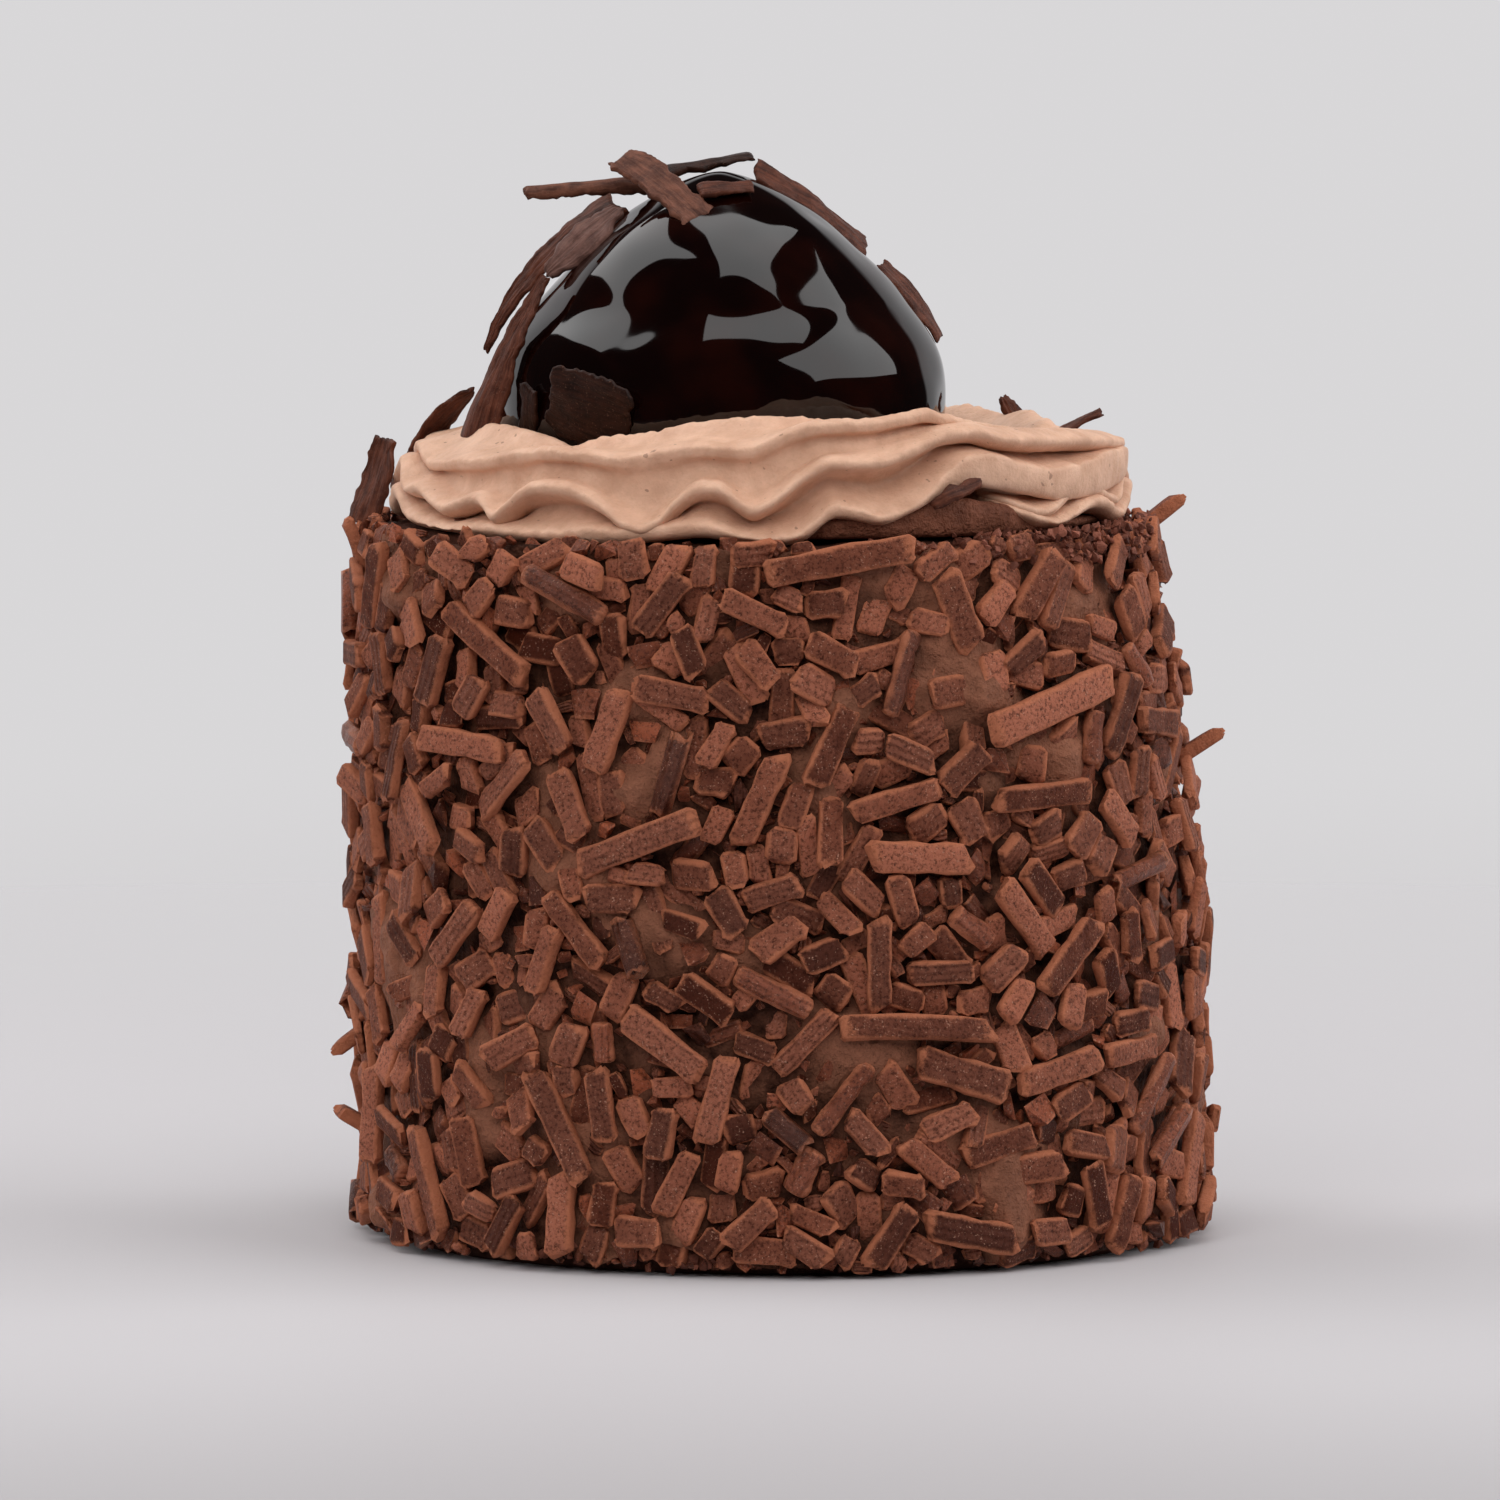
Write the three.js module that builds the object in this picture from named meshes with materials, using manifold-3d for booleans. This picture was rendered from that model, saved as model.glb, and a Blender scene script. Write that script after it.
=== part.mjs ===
// A chocolate profiterole cake for one, about 80 mm across and 100 mm tall.
// A drum of chocolate sponge wears a coat of chocolate cream set with chocolate flakes. On top are a thin
// spread of chocolate cream, a ruffled rope of piped cream, a glazed choux bun and chocolate shavings.
// Millimetres, +Z up. The origin is the middle of the sponge's flat base, and the front faces -Y.

import * as THREE from 'three';
import { mergeVertices } from 'three/addons/utils/BufferGeometryUtils.js';
import Module from 'manifold-3d';

const wasm = await Module();
wasm.setup();

// ---- Driving dimensions ----

const CAKE_RADIUS = 40; // outside of the flakes near the base
const CAKE_HEIGHT = 66; // the sponge, from its flat base to its top
const TAPER = 2.9; // how much smaller the radius is at the top
const LEAN = 2.6; // how far the top has settled towards -X
const FLAKE_PROUD = 1.3; // how far a flake stands out of the coat
const COAT = 2.2; // thickness of the chocolate cream on the side
const COAT_FOOT = 0.9; // height at which the coat starts, above the base
const SPREAD = 0.9; // thickness of the chocolate cream on top
const ROPE_RADIUS = 27.7; // from the middle of the piped ring to the middle of its rope
const ROPE_WAVES = 15; // ruffles in one turn of the rope
const ROPE_CLIMB = 3.6; // how far the rope's end rides up over its start
const BUN_RADIUS = 20.6; // at the bun's waist
const BUN_TOP = 18.9; // from the waist up to the crown
const BUN_ROUNDNESS = 1.43; // power of the crown's rounded cone, 1 for a plain ellipse
const SHAVING = 0.6; // thickness of a chocolate shaving
const GAP = 0.3; // clearance between neighbouring pieces

// Worked out from them
const SPREAD_FOOT = CAKE_HEIGHT + GAP;
const SPREAD_TOP = SPREAD_FOOT + SPREAD;
const ROPE_FOOT = SPREAD_TOP + GAP;
const RING_MIDDLE = new THREE.Vector2(-2.0, 0);
const BUN_MIDDLE = new THREE.Vector2(-5.6, 0);
const BUN_WAIST = ROPE_FOOT + 12; // height of the bun's widest part
const BUN_UNDER = 14.5; // depth of the ellipse below the waist, before the flat base cuts it

const radians = THREE.MathUtils.degToRad;

// ---- Making and joining solids ----

// Moves every vertex of a geometry by a rule.
function reshape(geometry, move) {
  const position = geometry.attributes.position;
  const point = new THREE.Vector3();
  for (let i = 0; i < position.count; i++) {
    move(point.fromBufferAttribute(position, i));
    position.setXYZ(i, point.x, point.y, point.z);
  }
  return geometry;
}

// The geometry with shared corners merged, and without the faces that collapse at a pole.
function welded(geometry) {
  const bare = new THREE.BufferGeometry();
  bare.setAttribute('position', geometry.attributes.position);
  bare.setIndex(geometry.index);
  const merged = mergeVertices(bare, 1e-3);
  const corners = [];
  for (let i = 0; i < merged.index.count; i += 3) {
    const [a, b, c] = merged.index.array.slice(i, i + 3);
    if (a !== b && b !== c && c !== a) corners.push(a, b, c);
  }
  return merged.setIndex(corners);
}

// A closed geometry as a solid that can be joined and cut.
function solidOf(geometry) {
  const closed = welded(geometry);
  return new wasm.Manifold(
    new wasm.Mesh({
      numProp: 3,
      vertProperties: closed.attributes.position.array,
      triVerts: new Uint32Array(closed.index.array),
    }),
  );
}

function geometryOf(solid) {
  const made = solid.getMesh();
  const geometry = new THREE.BufferGeometry();
  geometry.setAttribute('position', new THREE.BufferAttribute(made.vertProperties, made.numProp));
  geometry.setIndex(new THREE.BufferAttribute(made.triVerts, 1));
  return geometry;
}

// A neighbour's surface moved out by the clearance, to cut with.
function clearanceOf(geometry) {
  const grown = welded(geometry);
  grown.computeVertexNormals();
  const normal = grown.attributes.normal;
  let i = 0;
  reshape(grown, (point) => {
    point.addScaledVector(new THREE.Vector3().fromBufferAttribute(normal, i), GAP);
    i += 1;
  });
  return solidOf(grown);
}

// Seeded random numbers from 0 to 1, so that the flakes always fall alike.
function seeded(seed) {
  let state = seed;
  return () => {
    state = (state + 0x6d2b79f5) | 0;
    let mixed = Math.imul(state ^ (state >>> 15), 1 | state);
    mixed = (mixed + Math.imul(mixed ^ (mixed >>> 7), 61 | mixed)) ^ mixed;
    return ((mixed ^ (mixed >>> 14)) >>> 0) / 2 ** 32;
  };
}

// A profile of [radius, height] points turned about the Z axis.
function turned(profile, sides) {
  const points = profile.map(([radius, height]) => new THREE.Vector2(radius, height));
  return new THREE.LatheGeometry(points, sides).rotateX(Math.PI / 2);
}

// ---- The drum's outline ----

const leanAt = (z) => -LEAN * (Math.max(z, 0) / CAKE_HEIGHT) ** 2;
const outlineAt = (z) => CAKE_RADIUS - TAPER * (Math.max(z, 0) / CAKE_HEIGHT) ** 3;
const coatAt = (z) => outlineAt(z) - FLAKE_PROUD;
const spongeAt = (z) => coatAt(z) - COAT - GAP;
const DRUM_SIDES = 40;
const DRUM_BEND = 0.6; // share of the height below which the side is nearly straight

// The side is as uneven as cream spread by hand.
const swellAt = (angle, z) => 0.2 * (Math.sin(3 * angle + z / 17) + Math.sin(5 * angle - z / 11 + 2));

// A point of the side, some depth under the faces of the flakes.
function onSide(angle, z, depth) {
  const radius = outlineAt(z) + swellAt(angle, z) - depth;
  return new THREE.Vector3(radius * Math.cos(angle) + leanAt(z), radius * Math.sin(angle), z);
}

// Gives a turned piece the drum's lean and its uneven side.
function settle(geometry) {
  return reshape(geometry, (point) => {
    const angle = Math.atan2(point.y, point.x);
    const swell = (swellAt(angle, point.z) * Math.hypot(point.x, point.y)) / CAKE_RADIUS;
    point.x += swell * Math.cos(angle) + leanAt(point.z);
    point.y += swell * Math.sin(angle);
  });
}

// ---- Sponge: a baked drum with softly rounded edges, standing on its flat base ----

function sponge() {
  const edge = 1.2;
  const top = CAKE_HEIGHT;
  const profile = [
    [0, 0],
    [spongeAt(0) - edge, 0],
    [spongeAt(0), edge],
    [spongeAt(top * DRUM_BEND), top * DRUM_BEND],
    [spongeAt(top - edge), top - edge],
    [spongeAt(top) - edge, top],
    [0, top],
  ];
  return settle(turned(profile, DRUM_SIDES));
}

// ---- Flakes: flat bars of chocolate, pressed into the coat ----

const FLAKE_THICKNESS = 2.3;
const FLAKE_COUNT = 215;
const FLAKE_SPACING = 0.3; // least clear distance between two flakes

// The largest flakes on the front: how far across and up they sit, their size and how they are turned.
const LARGE_FLAKES = [
  { x: 4.9, z: 64.6, length: 13.7, width: 2.6, turn: 9 },
  { x: 24.0, z: 51.0, length: 15.8, width: 3.2, turn: 15 },
  { x: 22.6, z: 36.1, length: 18.0, width: 2.6, turn: 88 },
  { x: 12.3, z: 37.9, length: 9.7, width: 2.8, turn: -3 },
  { x: -12.9, z: 39.3, length: 12.6, width: 2.7, turn: 21 },
  { x: -26.6, z: 56.7, length: 12.0, width: 2.4, turn: -30 },
  { x: -20.0, z: 13.4, length: 11.4, width: 2.5, turn: -58 },
  { x: -31.9, z: 7.2, length: 10.6, width: 2.5, turn: -68 },
  { x: -19.9, z: 5.4, length: 7.5, width: 2.5, turn: 90 },
  { x: 11.9, z: 22.4, length: 14.6, width: 2.3, turn: -3 },
  { x: 16.0, z: 18.2, length: 9.0, width: 3.1, turn: -18 },
  { x: 24.7, z: 18.0, length: 9.6, width: 2.6, turn: 12 },
  { x: 16.7, z: 3.9, length: 9.2, width: 2.8, turn: -12 },
  { x: -2.1, z: 43.3, length: 8.9, width: 2.4, turn: 66 },
  { x: -5.9, z: 16.2, length: 8.1, width: 2.5, turn: 75 },
  { x: -15.6, z: 49.3, length: 7.8, width: 2.7, turn: 71 },
];

// The few flakes that stick out of the outline, with the angle round the cake and the way each one points.
const STRAY_FLAKES = [
  { angle: 186, z: 60.6, length: 7.6, width: 1.9, points: [-0.39, -0.1, 0.92] },
  { angle: 0, z: 43.4, length: 6.8, width: 1.9, points: [0.84, 0, 0.54] },
  { angle: 2, z: 64.6, length: 6.6, width: 2.6, points: [0.78, 0, 0.62] },
  { angle: 180, z: 19.6, length: 5.6, width: 2.2, points: [-0.8, 0, -0.6] },
  { angle: 181, z: 9.3, length: 5.2, width: 2.6, points: [-0.85, 0, 0.5] },
];

// A bar whose two ends are broken at a slant.
function flakeBar({ length, width, slant = 0.2 }, thickness, room) {
  const bar = new THREE.BoxGeometry(length + 2 * room, width + 2 * room, thickness + 2 * room);
  return reshape(bar, (point) => {
    point.x += slant * point.y * Math.sign(point.x);
  });
}

// Points along a flake's middle, on the unrolled side, for testing distances.
function spine({ angle, z, length, width, turn }) {
  const samples = 5;
  const reach = (length - width) / 2;
  return Array.from({ length: samples }, (_, i) => {
    const along = reach * ((2 * i) / (samples - 1) - 1);
    return [
      angle * outlineAt(z) + along * Math.cos(radians(turn)),
      z + along * Math.sin(radians(turn)),
    ];
  });
}

function apart(a, b) {
  const round = 2 * Math.PI * CAKE_RADIUS;
  const least = (a.width + b.width) / 2 + FLAKE_SPACING;
  return spine(a).every(([ax, az]) =>
    spine(b).every(([bx, bz]) => {
      const across = Math.abs(ax - bx) % round;
      return Math.hypot(Math.min(across, round - across), az - bz) > least;
    }),
  );
}

// Where every flake lies: the large ones first, then smaller and smaller ones wherever there is room.
function flakePlaces() {
  const random = seeded(11);
  const between = (low, high) => low + (high - low) * random();
  const placed = LARGE_FLAKES.map((flake) => ({
    ...flake,
    angle: -Math.acos((flake.x - leanAt(flake.z)) / coatAt(flake.z)),
    slant: between(-0.3, 0.3),
  }));
  const lengths = Array.from({ length: FLAKE_COUNT - placed.length }, () => 3.4 + 6.4 * random() ** 1.6);
  lengths.sort((a, b) => b - a);
  for (const length of lengths) {
    for (let tries = 0; tries < 400; tries++) {
      const flake = {
        length,
        width: between(2.2, 3.0),
        angle: between(-Math.PI, Math.PI),
        z: between(COAT_FOOT, CAKE_HEIGHT),
        turn: between(-90, 90),
        slant: between(-0.35, 0.35),
      };
      const turn = radians(flake.turn);
      const reach = (length * Math.abs(Math.sin(turn)) + flake.width * Math.cos(turn)) / 2;
      const inside = flake.z - reach > COAT_FOOT && flake.z + reach < CAKE_HEIGHT;
      if (inside && placed.every((other) => apart(flake, other))) {
        placed.push(flake);
        break;
      }
    }
  }
  return placed;
}

// Puts a bar on the side, turned in the surface, with its outer face proud of the coat.
function laidOnSide(flake, room) {
  const { angle, z, turn } = flake;
  const out = new THREE.Vector3(Math.cos(angle), Math.sin(angle), 0);
  const round = new THREE.Vector3(-Math.sin(angle), Math.cos(angle), 0);
  const up = new THREE.Vector3(0, 0, 1);
  const along = round.multiplyScalar(Math.cos(radians(turn))).addScaledVector(up, Math.sin(radians(turn)));
  const across = new THREE.Vector3().crossVectors(out, along);
  const place = new THREE.Matrix4().makeBasis(along, across, out);
  place.setPosition(onSide(angle, z, FLAKE_THICKNESS / 2));
  return solidOf(flakeBar(flake, FLAKE_THICKNESS, room).applyMatrix4(place));
}

// Puts a bar with its inner end in the coat, pointing out of it.
function strayOnSide(flake, room) {
  const { angle, z, length, points } = flake;
  const out = new THREE.Vector3(Math.cos(radians(angle)), Math.sin(radians(angle)), 0);
  const along = new THREE.Vector3(...points).normalize();
  const across = new THREE.Vector3().crossVectors(out, along).normalize();
  const face = new THREE.Vector3().crossVectors(along, across);
  const thickness = 0.6 * FLAKE_THICKNESS;
  const root = 1; // how deep the bar's inner third reaches into the coat
  const middle = onSide(radians(angle), z, FLAKE_PROUD + root).addScaledVector(along, length / 3);
  const place = new THREE.Matrix4().makeBasis(along, across, face).setPosition(middle);
  return solidOf(flakeBar(flake, thickness, room).applyMatrix4(place));
}

// ---- Coat: a sleeve of chocolate cream round the sponge, with the flakes fused on ----

function coatSleeve() {
  const heights = [COAT_FOOT, CAKE_HEIGHT * DRUM_BEND, CAKE_HEIGHT - 0.8];
  const outside = heights.map((z) => [coatAt(z), z]);
  const inside = heights.map((z) => [coatAt(z) - COAT, z]).reverse();
  return settle(turned([...outside, ...inside, outside[0]], DRUM_SIDES));
}

// The coat with its flakes, or with some room round it, for cutting what stands on its rim.
function coatWithFlakes(room = 0) {
  const sleeve = room ? clearanceOf(coatSleeve()) : solidOf(coatSleeve());
  const laid = flakePlaces().map((flake) => laidOnSide(flake, room));
  const strays = STRAY_FLAKES.map((flake) => strayOnSide(flake, room));
  return wasm.Manifold.union([sleeve, ...laid, ...strays]);
}

// ---- Spread: chocolate cream on top, humped at the front right where the rope rides up ----

function spread() {
  const radius = 32.4;
  const lip = 0.4;
  const profile = [
    [0, SPREAD_FOOT],
    [radius - lip, SPREAD_FOOT],
    [radius, SPREAD_FOOT + SPREAD / 2],
    [radius - lip, SPREAD_TOP],
    [0.86 * radius, SPREAD_TOP],
    [0, SPREAD_TOP],
  ];
  const humpMiddle = radians(-60);
  const humpReach = radians(24);
  return reshape(turned(profile, 45), (point) => {
    const angle = Math.atan2(point.y, point.x);
    const edge = Math.hypot(point.x, point.y) > 0.95 * (radius - lip) ? 1 : 0;
    const hump = Math.max(0, 1 - ((angle - humpMiddle) / humpReach) ** 2);
    const out = edge * (1.4 * hump + 0.3 * Math.sin(7 * angle));
    point.x += out * Math.cos(angle) + RING_MIDDLE.x;
    point.y += out * Math.sin(angle);
    if (point.z > SPREAD_TOP - 0.01) point.z += 2.6 * edge * hump;
  });
}

// ---- Piped cream: one ruffled rope, laid as a spiral whose end rides over its start ----

const ROPE_START = -50;
const ROPE_JOIN = 142;
const ROPE_END = 362;
const ROPE_STEP = 4;
const FIRST_CREST = -101; // angle of one crest of the ruffle

// The rope's section, from its inner foot round under it to the outer ledges and over the top. Each
// point is [out, up, wave]: its place from the middle of the rope's foot, and how far the ruffle moves
// it up and down.
const ROPE_SECTION = [
  [-5.8, 0.2, 0],
  [0, 0, 0],
  [4.6, 0.1, 0.1],
  [6.7, -0.2, 1.0],
  [4.8, 0.9, 1.3],
  [5.6, 2.1, 1.8],
  [3.4, 3.5, 1.1],
  [3.3, 6.0, 0.5],
  [0.5, 6.9, 0.35],
  [-2.2, 7.5, 0.3],
  [-4.4, 5.6, 0.1],
  [-6.2, 2.9, 0],
];
// The same points where the rope has risen off the cake: the lowest ledge is tucked away under the next.
const RAISED_SECTION = ROPE_SECTION.map((point) => [...point]);
RAISED_SECTION[2] = [2.6, 0.2, 0.2];
RAISED_SECTION[3] = [4.2, 0.8, 0.8];
RAISED_SECTION[4] = [4.9, 1.4, 1.3];

const smoothstep = THREE.MathUtils.smoothstep;

// How the rope rises, loses its lowest ledge and thins where its end rides up over its start.
const ropeRise = (degrees) => ROPE_CLIMB * smoothstep(degrees, 283, 318);
const ropeRaised = (degrees) => smoothstep(degrees, 276, 296);
const ropeSize = (degrees) => 1 - 0.4 * smoothstep(degrees, 290, 340);

// It is a little taller across the front, before it rises.
const ropeTall = (degrees) => 1 + 0.15 * (smoothstep(degrees, 235, 272) - smoothstep(degrees, 285, 310));

// Rounds the rope off over its last few degrees at both ends.
function ropeEnd(degrees, start, end) {
  const reach = 9;
  const left = Math.min(degrees - start, end - degrees, reach) / reach;
  return 0.25 + 0.75 * Math.sqrt(1 - (1 - Math.max(left, 0)) ** 2);
}

function ropePoint(degrees, corner) {
  const [out, up, wave] = ROPE_SECTION[corner].map((value, i) =>
    THREE.MathUtils.lerp(value, RAISED_SECTION[corner][i], ropeRaised(degrees)),
  );
  const crest = Math.cos(ROPE_WAVES * radians(degrees - FIRST_CREST));
  const size = ropeSize(degrees) * ropeEnd(degrees, ROPE_START, ROPE_END);
  const thinned = 4 * (1 - ropeSize(degrees));
  const radius = ROPE_RADIUS + thinned + size * (out + 0.35 * wave * crest);
  const angle = radians(degrees);
  return new THREE.Vector3(
    RING_MIDDLE.x + radius * Math.cos(angle),
    RING_MIDDLE.y + radius * Math.sin(angle),
    ROPE_FOOT + ropeRise(degrees) + size * (ropeTall(degrees) * up + wave * crest),
  );
}

// One stretch of the rope, made from a closed cylinder: its height runs along the rope.
function ropeStretch(from, to) {
  const sides = ROPE_SECTION.length;
  const steps = Math.round((to - from) / ROPE_STEP);
  const tube = new THREE.CylinderGeometry(1, 1, 1, sides, steps);
  return reshape(tube, (point) => {
    const degrees = from + (to - from) * (0.5 - point.y);
    const turn = Math.atan2(point.x, point.z) / (2 * Math.PI);
    const corner = (Math.round(turn * sides) + sides) % sides;
    if (Math.hypot(point.x, point.z) > 0.5) point.copy(ropePoint(degrees, corner));
    else point.lerpVectors(ropePoint(degrees, 1), ropePoint(degrees, sides - 3), 0.5);
  });
}

function pipedCream() {
  const start = solidOf(ropeStretch(ROPE_START, ROPE_JOIN));
  const end = solidOf(ropeStretch(ROPE_JOIN - ROPE_STEP, ROPE_END));
  return start.add(end);
}

// ---- Choux bun: a rounded cone above its waist, tucked in below, with a few soft lumps ----

function bunPoint(azimuth, fall) {
  const above = fall <= Math.PI / 2;
  const power = above ? BUN_ROUNDNESS : 1;
  const lump = 1 + 0.014 * Math.sin(3 * azimuth + 1) * Math.sin(2 * fall) + 0.01 * Math.sin(5 * azimuth);
  const radius = BUN_RADIUS * lump * Math.sin(fall) ** power;
  const height = above ? BUN_TOP * Math.cos(fall) ** power : BUN_UNDER * Math.cos(fall);
  return new THREE.Vector3(
    BUN_MIDDLE.x + radius * Math.cos(azimuth),
    BUN_MIDDLE.y + radius * Math.sin(azimuth),
    Math.max(BUN_WAIST + height, ROPE_FOOT),
  );
}

function bun() {
  const ball = new THREE.SphereGeometry(1, 28, 16).rotateX(Math.PI / 2);
  return reshape(ball, (point) => {
    const fall = Math.acos(THREE.MathUtils.clamp(point.z, -1, 1));
    point.copy(bunPoint(Math.atan2(point.y, point.x), fall));
  });
}

// ---- Shavings: thin curled sheets of chocolate on and round the bun ----

// A pose on the bun's surface: heading 0 runs round it, and 90 runs up its slope.
function onBun(azimuth, height, heading, lift = 0) {
  const turn = radians(azimuth);
  const rise = (height - BUN_WAIST) / (height > BUN_WAIST ? BUN_TOP : BUN_UNDER);
  const fall = rise > 0 ? Math.acos(rise ** (1 / BUN_ROUNDNESS)) : Math.acos(rise);
  const small = 0.02;
  const at = bunPoint(turn, fall);
  const upSlope = bunPoint(turn, fall - small).sub(bunPoint(turn, fall + small)).normalize();
  const round = new THREE.Vector3(-Math.sin(turn), Math.cos(turn), 0);
  const face = new THREE.Vector3().crossVectors(round, upSlope).normalize();
  const along = round.multiplyScalar(Math.cos(radians(heading)));
  along.addScaledVector(upSlope, Math.sin(radians(heading)));
  return { at: at.addScaledVector(face, GAP + SHAVING / 2 + lift), along, face };
}

// A pose given outright: the middle, the way the length runs and the way the broad face looks.
function standing(at, along, face) {
  return {
    at: new THREE.Vector3(...at),
    along: new THREE.Vector3(...along).normalize(),
    face: new THREE.Vector3(...face).normalize(),
  };
}

// curl and cup are the whole bend in degrees along the length and across the width, away from the broad
// face. taper narrows the end that the length points to, and leaf narrows both ends.
const SHAVINGS = [
  { name: 'strip_top', pose: standing([-11.2, -4.8, 97.1], [-0.62, 0.65, 0.45], [-0.1, -0.65, 0.75]),
    length: 11.7, width: 3.4, curl: 14 },
  { name: 'quill_left', pose: standing([-17.2, 0.2, 97.0], [-1, -0.06, -0.06], [0, -0.3, 1]),
    length: 13.0, width: 2.6, cup: 190 },
  { name: 'strip_crown', pose: standing([-7.6, 2.6, 98.7], [0.97, 0.1, 0.19], [-0.2, -0.1, 0.97]),
    length: 9.6, width: 3.2, cup: 60 },
  { name: 'chip_crown', pose: onBun(-86, 96.4, 8, 0.1), length: 4.6, width: 2.3 },
  { name: 'strip_right_top', pose: onBun(16, 94.4, 90, 0.1), length: 13.2, width: 4.2, curl: 12 },
  { name: 'strip_right_side', pose: onBun(8, 86.0, 84), length: 9.2, width: 3.6, curl: 20 },
  { name: 'leaf_left', pose: onBun(-166, 91.0, 76, 0.8), length: 9.2, width: 3.6, curl: 8, leaf: 0.7 },
  { name: 'blade_left', pose: onBun(174, 88.0, -88, 1.7), length: 18.8, width: 4.8, curl: 46, taper: 0.8 },
  { name: 'curl_left', pose: standing([-25.9, -7.4, 80.6], [0.38, 0.06, 0.92], [-0.74, -0.62, 0.28]),
    length: 18.4, width: 6.4, curl: 24, cup: 70, taper: 0.8 },
  { name: 'plate_front', pose: onBun(-125, 77.2, -16, 0.2), length: 9.2, width: 7.4, curl: 14, leaf: 0.25 },
  { name: 'chip_front', pose: onBun(-148, 76.8, 70, 0.2), length: 4.8, width: 2.6 },
  { name: 'plate_shoulder', pose: standing([-37.6, 1.5, 69.4], [0.3, 0.06, 0.95], [-0.8, -0.55, 0.2]),
    length: 8.8, width: 4.8, curl: -14, leaf: 0.4 },
  { name: 'leaf_rear_left', pose: standing([-31.8, 8.6, 74.6], [0.68, 0.1, 0.72], [-0.55, 0.6, 0.55]),
    length: 8.4, width: 3.2, curl: 12, leaf: 0.6 },
  { name: 'chip_rear_right', pose: standing([21.4, 12.6, 74.9], [-0.5, 0, 0.86], [0.3, -0.9, 0.2]),
    length: 4.0, width: 2.6, taper: 0.6 },
  { name: 'sliver_right', pose: standing([27.4, 4.6, 74.6], [0.86, 0, 0.5], [-0.4, -0.5, 0.76]),
    length: 4.6, width: 1.4 },
  { name: 'sliver_front', pose: standing([15.6, -30.0, 70.4], [0.86, 0.34, 0.38], [0.3, -0.8, 0.5]),
    length: 5.2, width: 1.6, leaf: 0.5 },
  { name: 'strip_back_right', pose: onBun(62, 90.0, 74, 0.2), length: 10.5, width: 3.6, curl: 20 },
  { name: 'leaf_back', pose: onBun(98, 93.4, 40, 0.3), length: 8.6, width: 3.6, curl: 20, leaf: 0.6 },
  { name: 'blade_back', pose: onBun(126, 85.4, 96, 0.6), length: 13.5, width: 4.2, curl: 22, taper: 0.7 },
  { name: 'plate_back', pose: onBun(84, 80.4, 12, 0.3), length: 8.2, width: 5.2, curl: 14 },
  { name: 'curl_back', pose: standing([-9.0, 26.4, 76.4], [0.3, 0.25, 0.92], [0.1, 0.96, 0.25]),
    length: 9.6, width: 4.2, cup: 60, taper: 0.6 },
];

// Bends a coordinate pair along an arc, so that a flat sheet keeps its length.
function bend(distance, offset, angle, length) {
  if (Math.abs(angle) < 1e-3) return [distance, offset];
  const arc = length / angle;
  const turn = distance / arc;
  return [(arc + offset) * Math.sin(turn), (arc + offset) * Math.cos(turn) - arc];
}

function shavingSheet({ length, width, curl = 0, cup = 0, taper = 0, leaf = 0, pose }) {
  const sheet = new THREE.BoxGeometry(length, width, SHAVING, Math.ceil(length / 3) + 1, cup > 90 ? 4 : 2);
  reshape(sheet, (point) => {
    const share = point.x / length + 0.5;
    const narrow = (1 - taper * share) * (1 - leaf * (2 * share - 1) ** 2);
    const ripple = 0.12 * Math.sin(5 * share + point.y);
    const [side, fold] = bend(point.y * narrow, point.z + ripple, radians(cup), width);
    const [ahead, rise] = bend(point.x, fold, radians(curl), length);
    point.set(ahead, side, rise);
  });
  const across = new THREE.Vector3().crossVectors(pose.face, pose.along).normalize();
  const face = new THREE.Vector3().crossVectors(pose.along, across);
  const place = new THREE.Matrix4().makeBasis(pose.along, across, face).setPosition(pose.at);
  return sheet.applyMatrix4(place);
}

// The sheet, less the room its neighbours need: what is pushed into the cream ends at its surface.
function shaving(settings, neighbours) {
  const left = neighbours.reduce((sheet, room) => sheet.subtract(room), solidOf(shavingSheet(settings)));
  const [largest] = left.decompose().sort((a, b) => b.volume() - a.volume());
  return geometryOf(largest);
}

// ---- Materials ----

const finish = (color, roughness) => new THREE.MeshStandardMaterial({ color, roughness, metalness: 0 });
const spongeCrumb = finish(0x2c1710, 0.95);
const flakeChocolate = finish(0x84523f, 0.6);
const chocolateCream = finish(0x6b4334, 0.7);
const whippedCream = finish(0xc89b80, 0.6);
const glaze = finish(0x1a0806, 0.05);
const shavedChocolate = finish(0x55301f, 0.5);

// ---- The cake ----

const cake = new THREE.Group();

function add(name, geometry, material) {
  const mesh = new THREE.Mesh(geometry, material);
  mesh.name = name;
  cake.add(mesh);
  return geometry;
}

// The piped cream droops onto the coat, and the spread fills the room that is left under the piped cream.
const coatRoom = coatWithFlakes(GAP);
const rope = pipedCream().subtract(coatRoom);
const ropeRoom = clearanceOf(geometryOf(rope));
add('flake_coat', geometryOf(coatWithFlakes()), flakeChocolate);
const carriers = [
  add('sponge', sponge(), spongeCrumb),
  add('cream_spread', geometryOf(solidOf(spread()).subtract(ropeRoom)), chocolateCream),
  add('choux_bun', bun(), glaze),
];
add('piped_cream', geometryOf(rope), whippedCream);
const neighbours = [coatRoom, ropeRoom, ...carriers.map(clearanceOf)];
for (const settings of SHAVINGS) {
  const made = add(`shaving_${settings.name}`, shaving(settings, neighbours), shavedChocolate);
  neighbours.push(clearanceOf(made));
}

export default cake;
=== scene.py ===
"""A chocolate profiterole cake for one.

A drum of dark sponge wears a coat of chocolate cream set with chocolate flakes. On top lie a thin spread of
chocolate cream, a ruffled rope of piped cream, a glazed choux bun and shavings of chocolate.
Sizes are in millimetres and become metres where a mesh is made.
"""

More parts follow.
